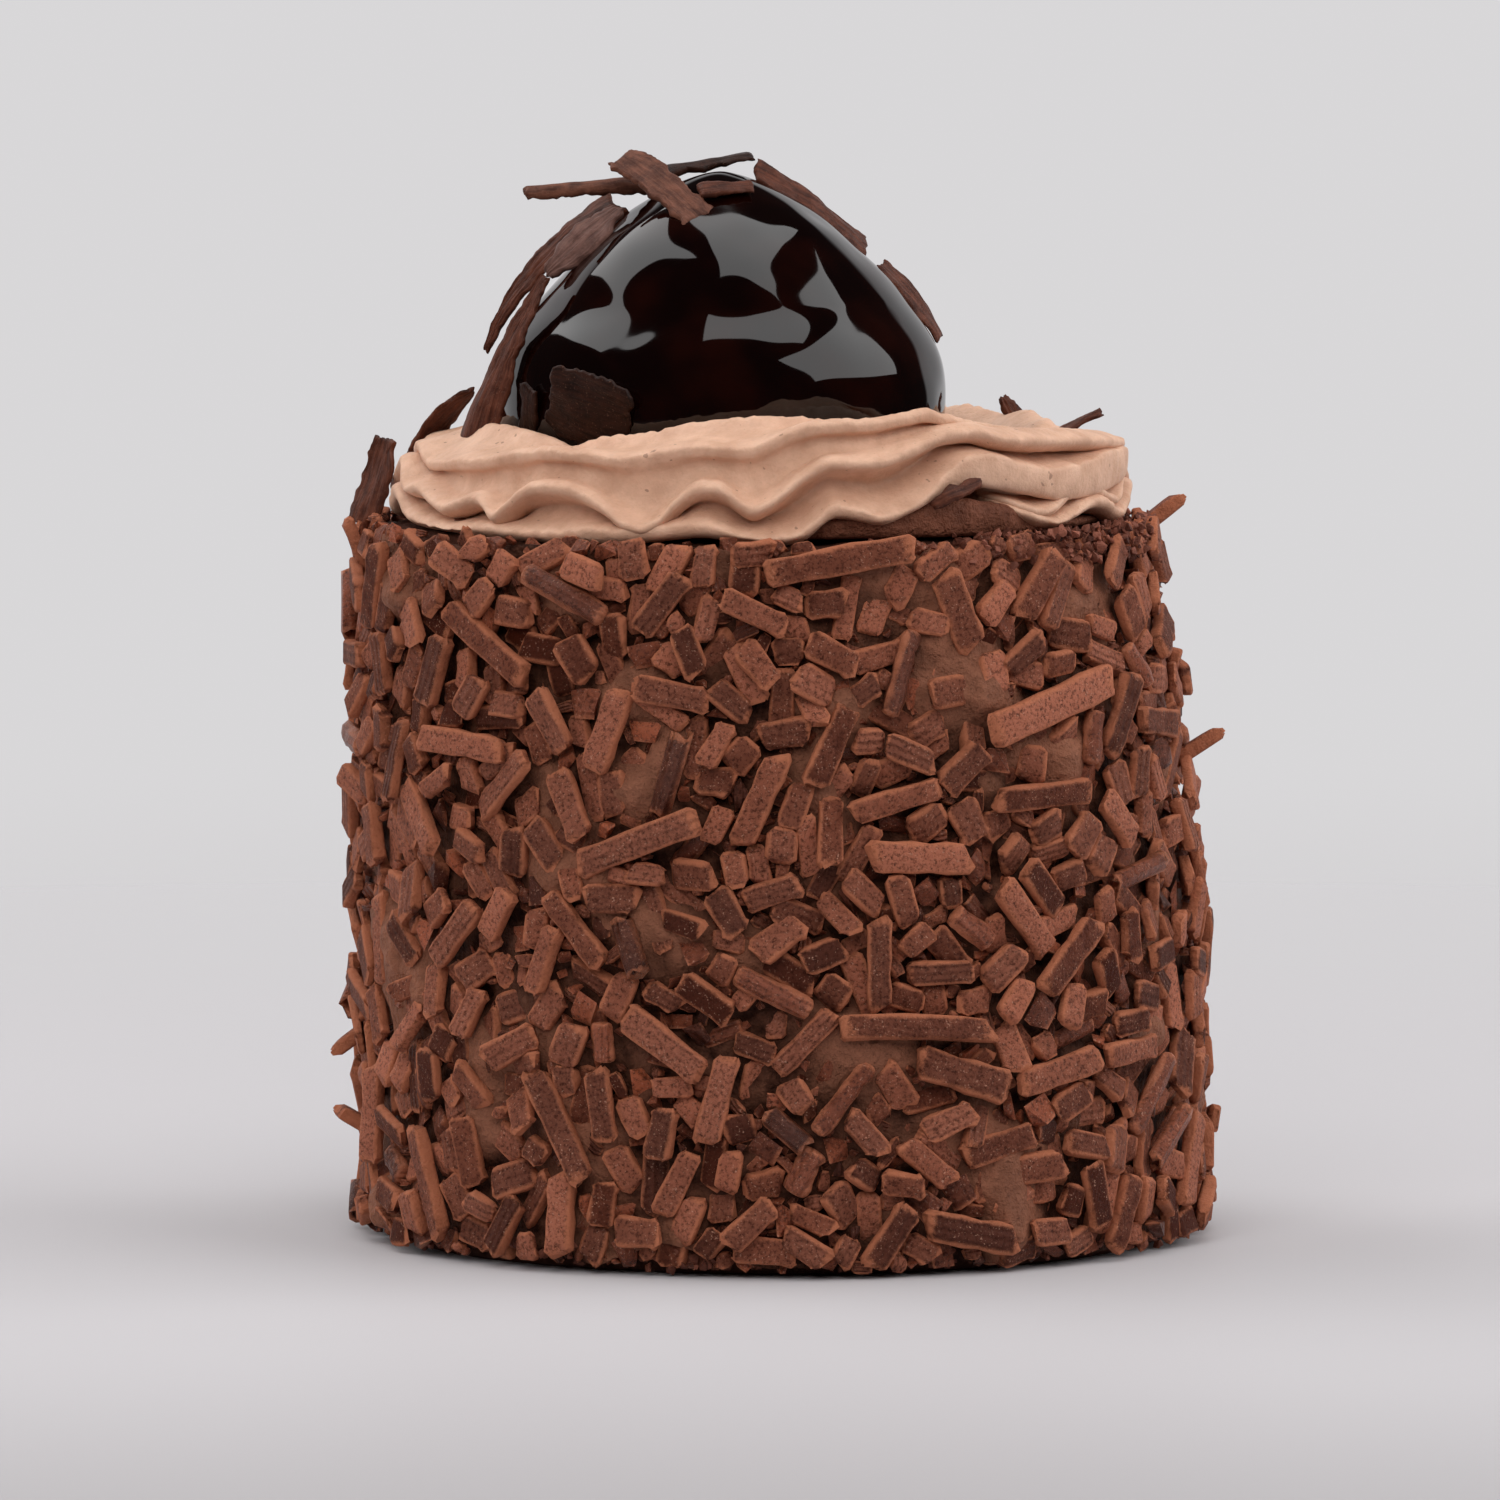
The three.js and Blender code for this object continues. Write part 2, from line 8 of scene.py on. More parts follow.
import collections
import itertools
import math

import bmesh
import bpy
import numpy as np
from mathutils import Matrix, Vector


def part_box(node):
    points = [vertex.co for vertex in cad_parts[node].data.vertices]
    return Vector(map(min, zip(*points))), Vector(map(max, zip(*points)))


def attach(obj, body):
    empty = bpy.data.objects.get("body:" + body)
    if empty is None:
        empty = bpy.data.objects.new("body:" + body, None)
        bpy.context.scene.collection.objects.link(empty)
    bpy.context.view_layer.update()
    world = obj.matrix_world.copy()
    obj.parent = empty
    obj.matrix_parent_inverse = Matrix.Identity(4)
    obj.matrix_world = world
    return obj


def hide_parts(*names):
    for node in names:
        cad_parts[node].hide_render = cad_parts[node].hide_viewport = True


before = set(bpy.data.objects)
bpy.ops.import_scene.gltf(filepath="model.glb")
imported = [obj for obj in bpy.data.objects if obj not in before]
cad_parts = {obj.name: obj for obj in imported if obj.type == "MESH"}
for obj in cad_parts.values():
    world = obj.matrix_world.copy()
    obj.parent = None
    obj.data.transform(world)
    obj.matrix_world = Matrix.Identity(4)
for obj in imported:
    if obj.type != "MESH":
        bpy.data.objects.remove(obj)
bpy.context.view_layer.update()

MM = 0.001


# ---- Sponge ----
# A drum of dark chocolate sponge on its flat base. It is baked, then cut, so its side and rims are open
# crumb. Only its foot and its upper rim show between the flakes.

CAKE_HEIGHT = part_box("sponge")[1].z / MM
CAKE_RADIUS = 40  # outside of the flakes near the base
TAPER = 2.9  # how much smaller the radius is at the top
LEAN = 2.6  # how far the top has settled to one side
COAT_DEPTH = 3.8  # from the faces of the flakes to the sponge
SWELL = 0.2  # how far the side is out of round
CUT_EDGE = 1.2  # how far the cut rims are worn round
CRUMB = 0.4  # depth of the open crumb


def lean_at(z):
    return -LEAN * (np.maximum(z, 0) / CAKE_HEIGHT) ** 2


def outline_at(z):
    return CAKE_RADIUS - TAPER * (np.maximum(z, 0) / CAKE_HEIGHT) ** 3


def swell_at(angle, z):
    return SWELL * (np.sin(3 * angle + z / 17) + np.sin(5 * angle - z / 11 + 2))


def grid(*coordinates):
    """Points from coordinates that may each be a grid, a row, a column or one number."""
    return np.stack(np.broadcast_arrays(*coordinates), axis=-1)


def around(turn, radius, height, middle=0):
    """Points at a radius round an upright line that stands at the given X."""
    return grid(radius * np.cos(turn) + middle, radius * np.sin(turn), height)


def on_side(angle, z, depth):
    """Points of the cake's side, some depth under the faces of its flakes."""
    return around(angle, outline_at(z) + swell_at(angle, z) - depth, z, lean_at(z))


NOISE_CELLS = 32
noise_table = np.random.default_rng(3).uniform(-1, 1, (NOISE_CELLS,) * 3)


def noise(points, size, octaves=1):
    """Smooth noise from -1 to 1 at points, with lumps of about the given size in millimetres."""
    total = np.zeros(points.shape[:-1])
    for octave in range(octaves):
        place = points * 2**octave / size + 5.3 * octave
        cell = np.floor(place).astype(int)
        part = place - cell
        part = part * part * (3 - 2 * part)
        for corner in itertools.product((0, 1), repeat=3):
            share = np.prod(np.where(corner, part, 1 - part), axis=-1)
            value = noise_table[tuple(np.moveaxis((cell + corner) % NOISE_CELLS, -1, 0))]
            total += share * value / 2**octave
    return total


def ring_faces(rows, columns, closed=False):
    """Faces between rows of corners that each go once round, and from the last to the first if closed."""
    row = np.arange(rows if closed else rows - 1)[:, None] * columns
    column = np.arange(columns)[None, :]
    after = (column + 1) % columns
    above = (row + columns) % (rows * columns)
    corners = np.stack([row + column, row + after, above + after, above + column], axis=-1)
    return corners.reshape(-1, 4).tolist()


def capped_faces(rows, columns):
    """Faces between the rows, and one face over the first row and one over the last."""
    last = (rows - 1) * columns
    return ring_faces(rows, columns) + [list(range(columns))[::-1], list(range(last, last + columns))]


def smooth_mesh(name, corners, faces):
    """A smooth-shaded mesh from corners in millimetres."""
    mesh = bpy.data.meshes.new(name)
    mesh.from_pydata((np.reshape(corners, (-1, 3)) * MM).tolist(), [], faces)
    mesh.shade_smooth()
    return mesh


def new_object(name, data):
    """An object that is part of the scene."""
    item = bpy.data.objects.new(name, data)
    bpy.context.scene.collection.objects.link(item)
    return item


def place(name, mesh, finish, slot, *nodes):
    """Puts a finished piece on the cake in place of its CAD nodes."""
    piece = new_object(name, mesh)
    mesh.materials.clear()
    mesh.materials.append(finish)
    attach(piece, "root")
    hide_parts(*nodes)


class Value:
    """An output of a node. Sums, differences, products and quotients of it add Math nodes."""

    def __init__(self, tree, socket):
        self.tree = tree
        self.socket = socket

    def math(self, operation, *terms):
        return self.tree.add("ShaderNodeMath", {"operation": operation}, dict(enumerate(terms)))

    def __add__(self, other):
        return self.math("ADD", self, other)

    def __mul__(self, other):
        return self.math("MULTIPLY", self, other)

    def __sub__(self, other):
        return self.math("SUBTRACT", self, other)

    def __rsub__(self, other):
        return self.math("SUBTRACT", other, self)

    def __rtruediv__(self, other):
        return self.math("DIVIDE", other, self)

    __radd__ = __add__
    __rmul__ = __mul__

    def part(self, axis):
        """One coordinate of a vector."""
        return self.tree.add("ShaderNodeSeparateXYZ", {}, {0: self}, axis)

    def between(self, low, high):
        """0 below low, 1 above high and smooth from one to the other."""
        limits = {"Value": self, "From Min": low, "From Max": high}
        return self.tree.add("ShaderNodeMapRange", {"interpolation_type": "SMOOTHSTEP"}, limits)


class Tree:
    """A node tree, and the one way in which nodes are added to it."""

    def __init__(self, nodes):
        self.tree = nodes

    def add(self, kind, settings=None, sockets=None, output=0):
        node = self.tree.nodes.new(kind)
        for name, setting in (settings or {}).items():
            setattr(node, name, setting)
        for name, value in (sockets or {}).items():
            self.fill(node.inputs[name], value)
        return Value(self, node.outputs[output]) if node.outputs else None

    def fill(self, socket, value):
        if isinstance(value, Value):
            self.tree.links.new(value.socket, socket)
        else:
            socket.default_value = value


class Finish(Tree):
    """A material: its shader, and the patterns that vary it over a piece."""

    def __init__(self, name, roughness, specular):
        self.material = bpy.data.materials.new(name)
        self.material.use_nodes = True
        super().__init__(self.material.node_tree)
        self.shader = self.tree.nodes["Principled BSDF"]
        self.set("Roughness", roughness)
        self.set("Specular IOR Level", specular)
        self.position = self.add("ShaderNodeTexCoord", output="Object")

    def set(self, socket, value):
        self.fill(self.shader.inputs[socket], value)

    def attribute(self, name, output="Fac"):
        return self.add("ShaderNodeAttribute", {"attribute_name": name}, output=output)

    def noise(self, size, detail=2.0, roughness=0.5, position=None):
        """Noise from 0 to 1 with lumps of about the given size in millimetres."""
        sockets = {"Vector": position or self.position, "Scale": 1 / (size * MM), "Detail": detail}
        return self.add("ShaderNodeTexNoise", {}, {**sockets, "Roughness": roughness}, "Fac")

    def mix(self, share, low, high):
        """A colour that goes from low to high with the share."""
        low, high = (color if isinstance(color, Value) else (*color, 1) for color in (low, high))
        return self.add("ShaderNodeMix", {"data_type": "RGBA"}, {0: share, 6: low, 7: high}, 2)

    def bump(self, *layers):
        """Bumps the surface with layers of a height from 0 to 1 and its depth in millimetres."""
        normal = None
        for height, depth in layers:
            sockets = {"Height": height, "Distance": depth * MM}
            if normal:
                sockets["Normal"] = normal
            normal = self.add("ShaderNodeBump", {}, sockets)
        self.set("Normal", normal)


def sponge_mesh():
    sides, rows = 420, 60
    rise = np.linspace(CUT_EDGE, CAKE_HEIGHT - CUT_EDGE, rows)
    wall = outline_at(rise) - COAT_DEPTH
    base, top = wall[0] - CUT_EDGE, wall[-1] - CUT_EDGE
    out, up = 0.7 * CUT_EDGE, 0.3 * CUT_EDGE  # the corner of a worn rim
    radius = np.concatenate([[base / 2, base, base + out], wall, [top + out, top, top / 2]])
    height = np.concatenate([[0, 0, up], rise, [CAKE_HEIGHT - up, CAKE_HEIGHT, CAKE_HEIGHT]])
    angle = np.linspace(0, 2 * math.pi, sides, endpoint=False)
    angle, height = np.broadcast_arrays(angle[None, :], height[:, None])
    radius = radius[:, None] + swell_at(angle, height) * radius[:, None] / CAKE_RADIUS
    corners = around(angle, radius, height, lean_at(height))
    pitted = CRUMB * np.abs(noise(corners, 1.6, octaves=3))
    shrink = np.where((height > 0) & (height < CAKE_HEIGHT), 1 - pitted / np.maximum(radius, 1), 1)
    corners[..., :2] *= shrink[..., None]
    corners[..., 2] -= np.where(height >= CAKE_HEIGHT, pitted, 0)
    return smooth_mesh("sponge_crumb", corners, capped_faces(*angle.shape))


sponge_finish = Finish("dark_sponge", 0.9, 0.25)
sponge_pores = sponge_finish.noise(0.7, 5, 0.65)
sponge_body = sponge_finish.mix(sponge_pores, (0.012, 0.004, 0.002), (0.11, 0.036, 0.02))
sponge_finish.set("Base Color", sponge_body)
sponge_finish.bump((sponge_pores, 0.5))
place("sponge_crumb", sponge_mesh(), sponge_finish.material, "sponge", "sponge")


# ---- Flakes ----
# Milk chocolate flakes: thin bars, chopped short, and pressed by hand into the soft cream of the side. They
# lie in several layers, the large ones outside, with chips and a few rods and rolls in the gaps.

Flake = collections.namedtuple("Flake", "angle z length width turn thickness face")
FLAKE_WIDTH = 2.6
FLAKE_THICKNESS = 1.35
FLAKE_LENGTHS = (1.5, 2.2, 3.2, 4.4, 6.0, 8.4, 11.5, 15.5)
STUB_LENGTHS = 3  # how many of the lengths count as stubs
VARIANTS = 4  # bars of each length
MEAN_RADIUS = 38.4
SPOT = 0.3  # side of one spot of the unrolled side of the cake
OPEN = 9.0  # height of a spot that no flake covers yet
spots_round = round(2 * math.pi * MEAN_RADIUS / SPOT)
spots_up = round(CAKE_HEIGHT / SPOT)
underside = np.full((spots_round, spots_up), OPEN)

# The largest flakes of the front, as seen: how far across and up, length, width and turn in degrees.
LARGE_FLAKES = [
    (4.9, 64.6, 13.7, 2.6, 9), (24.0, 51.0, 15.8, 3.2, 15), (12.3, 37.9, 9.7, 2.8, -3),
    (-12.9, 39.3, 12.6, 2.7, 21), (-26.6, 56.7, 12.0, 2.4, -30), (-20.0, 13.4, 11.4, 2.5, -58),
    (-31.9, 7.2, 10.6, 2.5, -68), (-19.9, 5.4, 7.5, 2.5, 90), (11.9, 22.4, 14.6, 2.3, -3),
    (16.0, 18.2, 9.0, 3.1, -18), (24.7, 18.0, 9.6, 2.6, 12), (16.7, 3.9, 9.2, 2.8, -12),
    (-2.1, 43.3, 8.9, 2.4, 66), (-5.9, 16.2, 8.1, 2.5, 75), (-15.6, 49.3, 7.8, 2.7, 71),
    (23.2, 43.0, 11.0, 2.3, 2), (-28.8, 47.3, 10.9, 2.4, -4), (22.8, 61.8, 7.0, 2.7, 52),
    (-2.6, 60.0, 6.4, 2.3, -25),
]
# The few that stick out of the side: angle, height, length, width and the way they point.
STRAY_FLAKES = [
    (186, 60.6, 7.6, 1.9, (-0.39, -0.1, 0.92)), (0, 43.4, 6.8, 1.9, (0.84, 0, 0.54)),
    (2, 64.6, 6.6, 2.6, (0.78, 0, 0.62)), (180, 19.6, 5.6, 2.2, (-0.8, 0, -0.6)),
    (181, 9.3, 5.2, 2.6, (-0.85, 0, 0.5)),
]
# Each layer: how many flakes, the range of their lengths and of their widths, how much of one may lie under
# others, and how deep its face lies where nothing covers it.
FLAKE_LAYERS = [
    (300, (4.4, 9.5), (2.1, 2.9), 0.02, (-0.3, 0.25)),
    (900, (2.4, 4.6), (2.0, 3.0), 0.08, (-0.5, 0.2)),
    (760, (2.8, 6.5), (1.8, 2.7), 0.4, (-0.8, -0.2)),
    (900, (1.4, 3.2), (1.0, 2.1), 0.35, (-0.9, -0.1)),
    (900, (1.2, 3.0), (0.9, 1.9), 0.6, (-1.4, -0.5)),
    (1500, (0.7, 1.5), (0.6, 1.1), 0.6, (-1.7, -0.6)),
]
THICKNESSES = (0.95, 1.35)
ABOVE_FLOOR, PAST_RIM = 0.3, 0.8  # how near a flake may come to the floor, and how far it may pass the rim
TRIES = 40  # places tried for each flake
LARGE_FACE = 0.1  # how far the face of a large flake stands out of the side
SUNK = 0.35  # how much deeper a flake lies where cream was smeared up over it
PRESSED = 0.45  # how far a flake is pressed into one that lies over it
DEEPEST_FACE = -2.3


def smear_at(angle, z):
    """From 0 to 1: where the flakes have sunk into cream that was smeared up over them."""
    return np.clip(0.2 + 0.65 * noise(around(angle, MEAN_RADIUS, z) + 11, 8, octaves=2), 0, 1)


smeared = smear_at((np.arange(spots_round)[:, None] + 0.5) * SPOT / MEAN_RADIUS,
                   (np.arange(spots_up)[None, :] + 0.5) * SPOT)


def spots_under(flake):
    """The spots of the unrolled side that a flake covers."""
    reach = math.hypot(flake.length, flake.width) / 2
    middle, z = flake.angle * MEAN_RADIUS, flake.z
    columns = np.arange(math.floor((middle - reach) / SPOT), math.ceil((middle + reach) / SPOT))
    rows = np.arange(max(0, math.floor((z - reach) / SPOT)), min(spots_up, math.ceil((z + reach) / SPOT)))
    aside = (columns[:, None] + 0.5) * SPOT - middle
    up = (rows[None, :] + 0.5) * SPOT - z
    along = aside * math.cos(flake.turn) + up * math.sin(flake.turn)
    across = up * math.cos(flake.turn) - aside * math.sin(flake.turn)
    column, row = np.nonzero((np.abs(along) < flake.length / 2) & (np.abs(across) < flake.width / 2))
    return columns[column] % spots_round, rows[row]


def lay_flake(flake, most_covered=1.0):
    """Lays a flake as high as the ones over it allow, or gives None where there is no room."""
    spots = spots_under(flake)
    above = underside[spots]
    if above.size == 0 or np.mean(above < OPEN) > most_covered:
        return None
    face = min(flake.face, above.min() + PRESSED)
    if face < DEEPEST_FACE:
        return None
    underside[spots] = np.minimum(above, face - flake.thickness)
    return flake._replace(face=face)


def try_flake(length, widths, covered, faces, random):
    """Tries a flake with its middle on a bare spot."""
    column, row = random.integers(spots_round), random.integers(spots_up)
    if underside[column, row] < OPEN:
        return None
    angle, z = (column + 0.5) * SPOT / MEAN_RADIUS, (row + 0.5) * SPOT
    turn = random.uniform(-math.pi / 2, math.pi / 2)
    width = random.uniform(*widths)
    reach = (length * abs(math.sin(turn)) + width * math.cos(turn)) / 2
    if z - reach < ABOVE_FLOOR or z + reach > CAKE_HEIGHT + PAST_RIM:
        return None
    thickness = random.uniform(*THICKNESSES)
    face = random.uniform(*faces) - SUNK * smeared[column, row]
    return lay_flake(Flake(angle, z, length, width, turn, thickness, face), covered)


def lay_flakes():
    random = np.random.default_rng(24)
    laid = []
    for x, z, length, width, turn in LARGE_FLAKES:
        angle = -math.acos((x - lean_at(z)) / (outline_at(z) - 1))
        large = Flake(angle, z, length, width, math.radians(turn), FLAKE_THICKNESS, LARGE_FACE)
        laid.append(lay_flake(large))
    for count, (short, long), widths, covered, faces in FLAKE_LAYERS:
        lengths = np.sort(short + (long - short) * random.random(count) ** 1.8)[::-1]
        for length in lengths:
            found = None
            for _ in range(TRIES):
                found = found or try_flake(length, widths, covered, faces, random)
            if found:
                laid.append(found)
    return laid


def flake_pose(flake, random):
    """Stands a flake on the side: how it is turned, and its middle."""
    slope = 3 * TAPER * flake.z**2 / CAKE_HEIGHT**3
    out = Vector((math.cos(flake.angle), math.sin(flake.angle), slope)).normalized()
    sideways = Vector((-math.sin(flake.angle), math.cos(flake.angle), 0))
    along = sideways * math.cos(flake.turn) + out.cross(sideways) * math.sin(flake.turn)
    pose = Matrix((along, out.cross(along), out)).transposed()
    rock = min(0.2, 0.75 / flake.length)
    tilt = Matrix.Rotation(random.normal(0, rock), 3, "Y") @ Matrix.Rotation(random.normal(0, 0.17), 3, "X")
    middle = on_side(flake.angle, flake.z, flake.thickness / 2 - flake.face)
    return (pose @ tilt).to_euler(), Vector(middle)


def stray_pose(angle, z, length, direction):
    """Turns a flake to stick out of the side, with its inner third in the coat."""
    depth = 2.3
    along = Vector(direction).normalized()
    across = Vector((math.cos(angle), math.sin(angle), 0)).cross(along).normalized()
    pose = Matrix((along, across, along.cross(across))).transposed()
    return pose.to_euler(), Vector(on_side(angle, z, depth)) + along * length / 3


def shape_object(name, corners, faces, half, crisp=False):
    """One shape to scatter. Its place attribute runs from -1 to 1 between its opposite sides."""
    mesh = smooth_mesh(name, corners, faces)
    if crisp:
        mesh.set_sharp_from_angle(angle=math.radians(50))
    place_in_shape = mesh.attributes.new("place", "FLOAT_VECTOR", "POINT")
    place_in_shape.data.foreach_set("vector", (np.reshape(corners, (-1, 3)) / half).ravel())
    return bpy.data.objects.new(name, mesh)


def bar_shape(name, length, random):
    """A chopped bar: flat faces, soft edges, a slight bow, and both ends broken a little askew."""
    edge = 0.31  # how far the long edges are worn round
    blunt = 0.42  # how far the ends are worn round
    wide, thick, reach = FLAKE_WIDTH / 2, FLAKE_THICKNESS / 2, length / 2
    round_edge = [(wide - edge, thick), (wide - 0.3 * edge, thick - 0.3 * edge), (wide, thick - edge)]
    side = [(y, -z) for y, z in round_edge] + round_edge[::-1]
    section = np.array(side + [(-y, -z) for y, z in side])
    middles = [0.0] if length < 4 else np.linspace(-0.55, 0.55, 2 if length < 8 else 4) * reach
    stations = np.concatenate([[-reach, blunt - reach], middles, [reach - blunt, reach]])
    corners = np.zeros((len(stations), len(section), 3))
    corners[..., 0] = stations[:, None]
    corners[..., 1:] = section * random.uniform(0.88, 1.08, (len(stations), 1, 2))
    corners[[0, -1], :, 1:] = section * [1 - blunt / wide, 1 - edge / thick]
    for end, last in ((0, -1), (-1, 1)):
        slant, skew = random.normal(0, 0.15), random.normal(0, 0.15)
        jag = random.uniform(-0.22, 0.1, len(section)) * last
        for station, share in ((end, 1.0), (end - last, 0.8)):
            corners[station, :, 0] += (slant * section[:, 0] + skew * section[:, 1] + jag) * share
    bow = 1 - (stations / reach) ** 2
    corners[..., 1] += (random.normal(0, 0.012) * length * bow)[:, None]
    corners[..., 2] += (random.normal(0, 0.012) * length * bow)[:, None]
    return shape_object(name, corners, capped_faces(*corners.shape[:2]), (reach, wide, thick), crisp=True)


def rod_shape(name, length, random):
    """A round rod with a wavy run and blunt ends."""
    sides, middles = 8, 7
    stations = np.concatenate([[-1, -0.94], np.linspace(-0.8, 0.8, middles), [0.94, 1]])[:, None]
    swell = np.concatenate([[0.55, 0.9], random.uniform(0.88, 1.1, middles), [0.9, 0.55]])[:, None]
    turn = np.arange(sides) * math.pi / 4
    corners = grid(stations * length / 2, np.cos(turn) * swell + 0.12 * np.sin(stations * length * 0.5),
                   np.sin(turn) * swell * 0.8)
    return shape_object(name, corners, capped_faces(len(stations), sides), (length / 2, 1.0, 0.8))


def roll_shape(name, length, random):
    """A thin scraping rolled up on itself, with its hollow open at both ends."""
    wall, rows, steps = 0.3, 3, 8
    turn = np.linspace(0, random.uniform(1.5, 1.8) * math.pi, steps)
    turn = np.concatenate([turn, turn[::-1]])
    outer = np.linspace(1.0, 1.15, steps)
    radius = np.concatenate([outer, (outer - wall)[::-1]])
    ragged = 0.2 * random.normal(0, 1, (rows, 2 * steps))
    corners = grid(np.array([-1, 0, 1])[:, None] * length / 2 + ragged, np.cos(turn) * radius,
                   np.sin(turn) * radius)
    faces = ring_faces(rows, 2 * steps)
    for row, wound in ((0, 1), (rows - 1, -1)):
        start, end = 2 * steps * row, 2 * steps * (row + 1) - 1
        for i in range(steps - 1):
            faces.append([start + i, end - i, end - 1 - i, start + i + 1][::wound])
    return shape_object(name, corners, faces, (length / 2, 1.15, 1.15))


def chip_shape(name, random):
    """A broken crumb: the hull of a few points in a box."""
    half = np.array((1.15, 1.15, 1.1)) / 2
    shape = bmesh.new()
    for point in random.uniform(-1, 1, (14, 3)) * half:
        shape.verts.new(point)
    hull = bmesh.ops.convex_hull(shape, input=shape.verts)
    bmesh.ops.delete(shape, geom=hull["geom_interior"], context="VERTS")
    shape.verts.index_update()
    corners = np.array([vertex.co for vertex in shape.verts])
    faces = [[vertex.index for vertex in face.verts] for face in shape.faces]
    shape.free()
    return shape_object(name, corners, faces, half, crisp=True)


def scatter_tree():
    """Geometry Nodes that stand a chosen shape on every point, then make each one a little uneven."""
    group = bpy.data.node_groups.new("pressed_into_cream", "GeometryNodeTree")
    inputs = {"Points": "Geometry", "Shapes": "Collection", "Unevenness": "Float", "Lump size": "Float",
              "Finish": "Material"}
    for name, kind in inputs.items():
        group.interface.new_socket(name, in_out="INPUT", socket_type=f"NodeSocket{kind}")
    group.interface.new_socket("Pieces", in_out="OUTPUT", socket_type="NodeSocketGeometry")
    tree = Tree(group)

    def given(name):
        return tree.add("NodeGroupInput", output=name)

    def on_point(name, kind):
        return tree.add("GeometryNodeInputNamedAttribute", {"data_type": kind}, {"Name": name}, "Attribute")

    shapes = tree.add("GeometryNodeCollectionInfo", {}, {
        "Collection": given("Shapes"), "Separate Children": True, "Reset Children": True})
    turn = tree.add("FunctionNodeEulerToRotation", {}, {"Euler": on_point("turn", "FLOAT_VECTOR")})
    standing = tree.add("GeometryNodeInstanceOnPoints", {}, {
        "Points": given("Points"), "Instance": shapes, "Pick Instance": True, "Rotation": turn,
        "Instance Index": on_point("shape", "INT"), "Scale": on_point("size", "FLOAT_VECTOR")})
    loose = tree.add("GeometryNodeRealizeInstances", {}, {"Geometry": standing})
    lumps = tree.add("ShaderNodeTexNoise", {}, {
        "Vector": tree.add("GeometryNodeInputPosition"), "Scale": 1.0 / given("Lump size"),
        "Detail": 1.0}, "Color")
    centred = tree.add("ShaderNodeVectorMath", {"operation": "SUBTRACT"}, {0: lumps, 1: (0.5, 0.5, 0.5)})
    shift = tree.add("ShaderNodeVectorMath", {"operation": "SCALE"}, {
        0: centred, "Scale": given("Unevenness")})
    uneven = tree.add("GeometryNodeSetPosition", {}, {"Geometry": loose, "Offset": shift})
    finished = tree.add("GeometryNodeSetMaterial", {}, {"Geometry": uneven, "Material": given("Finish")})
    tree.add("NodeGroupOutput", {}, {"Pieces": finished})
    return group


pressed_into_cream = scatter_tree()


def scattered(name, shapes, items, finish, unevenness, lump_size):
    """One mesh of many shapes. An item is its middle, turn, size, shape number and tone."""
    points = bpy.data.meshes.new(name)
    points.from_pydata([tuple(item["middle"] * MM) for item in items], [], [])
    kinds = {"turn": "FLOAT_VECTOR", "size": "FLOAT_VECTOR", "shape": "INT", "tone": "FLOAT"}
    for attribute, kind in kinds.items():
        layer = points.attributes.new(attribute, kind, "POINT")
        values = np.array([item[attribute] for item in items])
        layer.data.foreach_set("vector" if values.ndim > 1 else "value", values.ravel())
    collection = bpy.data.collections.new(f"{name}_shapes")
    for shape in shapes:
        collection.objects.link(shape)
    carrier = new_object(name, points)
    modifier = carrier.modifiers.new("pressed", "NODES")
    modifier.node_group = pressed_into_cream
    given = {"Shapes": collection, "Unevenness": unevenness * MM, "Lump size": lump_size * MM,
             "Finish": finish}
    for socket in pressed_into_cream.interface.items_tree:
        if socket.in_out == "INPUT" and socket.name in given:
            modifier[socket.identifier] = given[socket.name]
    bpy.context.view_layer.update()
    evaluated = carrier.evaluated_get(bpy.context.evaluated_depsgraph_get())
    mesh = bpy.data.meshes.new_from_object(evaluated)
    mesh.name = name
    bpy.data.objects.remove(carrier)
    for shape in shapes:
        bpy.data.objects.remove(shape)
    bpy.data.collections.remove(collection)
    return mesh


def chocolate_flake_finish(name, dark, light, gloss, sheen):
    finish = Finish(name, gloss, sheen)
    tone = finish.attribute("tone")
    place_in_flake = finish.attribute("place", "Vector")
    distance = finish.add("ShaderNodeVectorMath", {"operation": "ABSOLUTE"}, {0: place_in_flake})
    grain = finish.noise(0.34, 5, 0.72)
    blotches = finish.noise(1.4, 3, 0.6)
    worn = 0.3 * (blotches - 0.5) + 0.3 * (grain - 0.5)
    # Paler orange rims along the long edges and the ends: partly the chocolate's own edge colour, partly a
    # painted highlight where edges catch the light.
    long_edge_colour_and_highlight = (distance.part("Y") + worn).between(0.62, 1.0)
    end_edge_colour_and_highlight = (distance.part("X") + worn).between(0.82, 1.0)
    rim = long_edge_colour_and_highlight.math("MAXIMUM", long_edge_colour_and_highlight, end_edge_colour_and_highlight) * 0.8
    # Pale specks painted into the colour as small glints of light.
    painted_glints = finish.noise(0.2, 2).between(0.6, 0.72) * blotches.between(0.35, 0.65)
    ribs = tone.math("SINE", place_in_flake.part("Y") * 10)
    dusty = tone.math("FRACT", tone * 7.3)  # jumps from one flake to the next
    body = finish.mix(tone * 1.5 + blotches * 0.5 - 0.54, dark, light)
    body = finish.mix(dusty * 0.4, body, (0.16, 0.064, 0.044))
    body = finish.mix(grain.between(0.55, 0.32) * 0.85, body, [channel * 0.6 for channel in dark])
    body = finish.mix(painted_glints * 0.8, body, (0.55, 0.3, 0.21))
    # The rims take a paler orange: edge colour with a painted highlight on it.
    finish.set("Base Color", finish.mix(rim, body, (0.5, 0.17, 0.086)))
    finish.set("Roughness", gloss + grain * 0.3 - 0.15)
    finish.bump((blotches, 0.45), (grain, 0.25), (ribs * dusty.between(0.4, 0.8), 0.07))
    return finish.material


def nearest_length(length):
    return int(np.argmin(np.abs(np.log(np.array(FLAKE_LENGTHS) / length))))


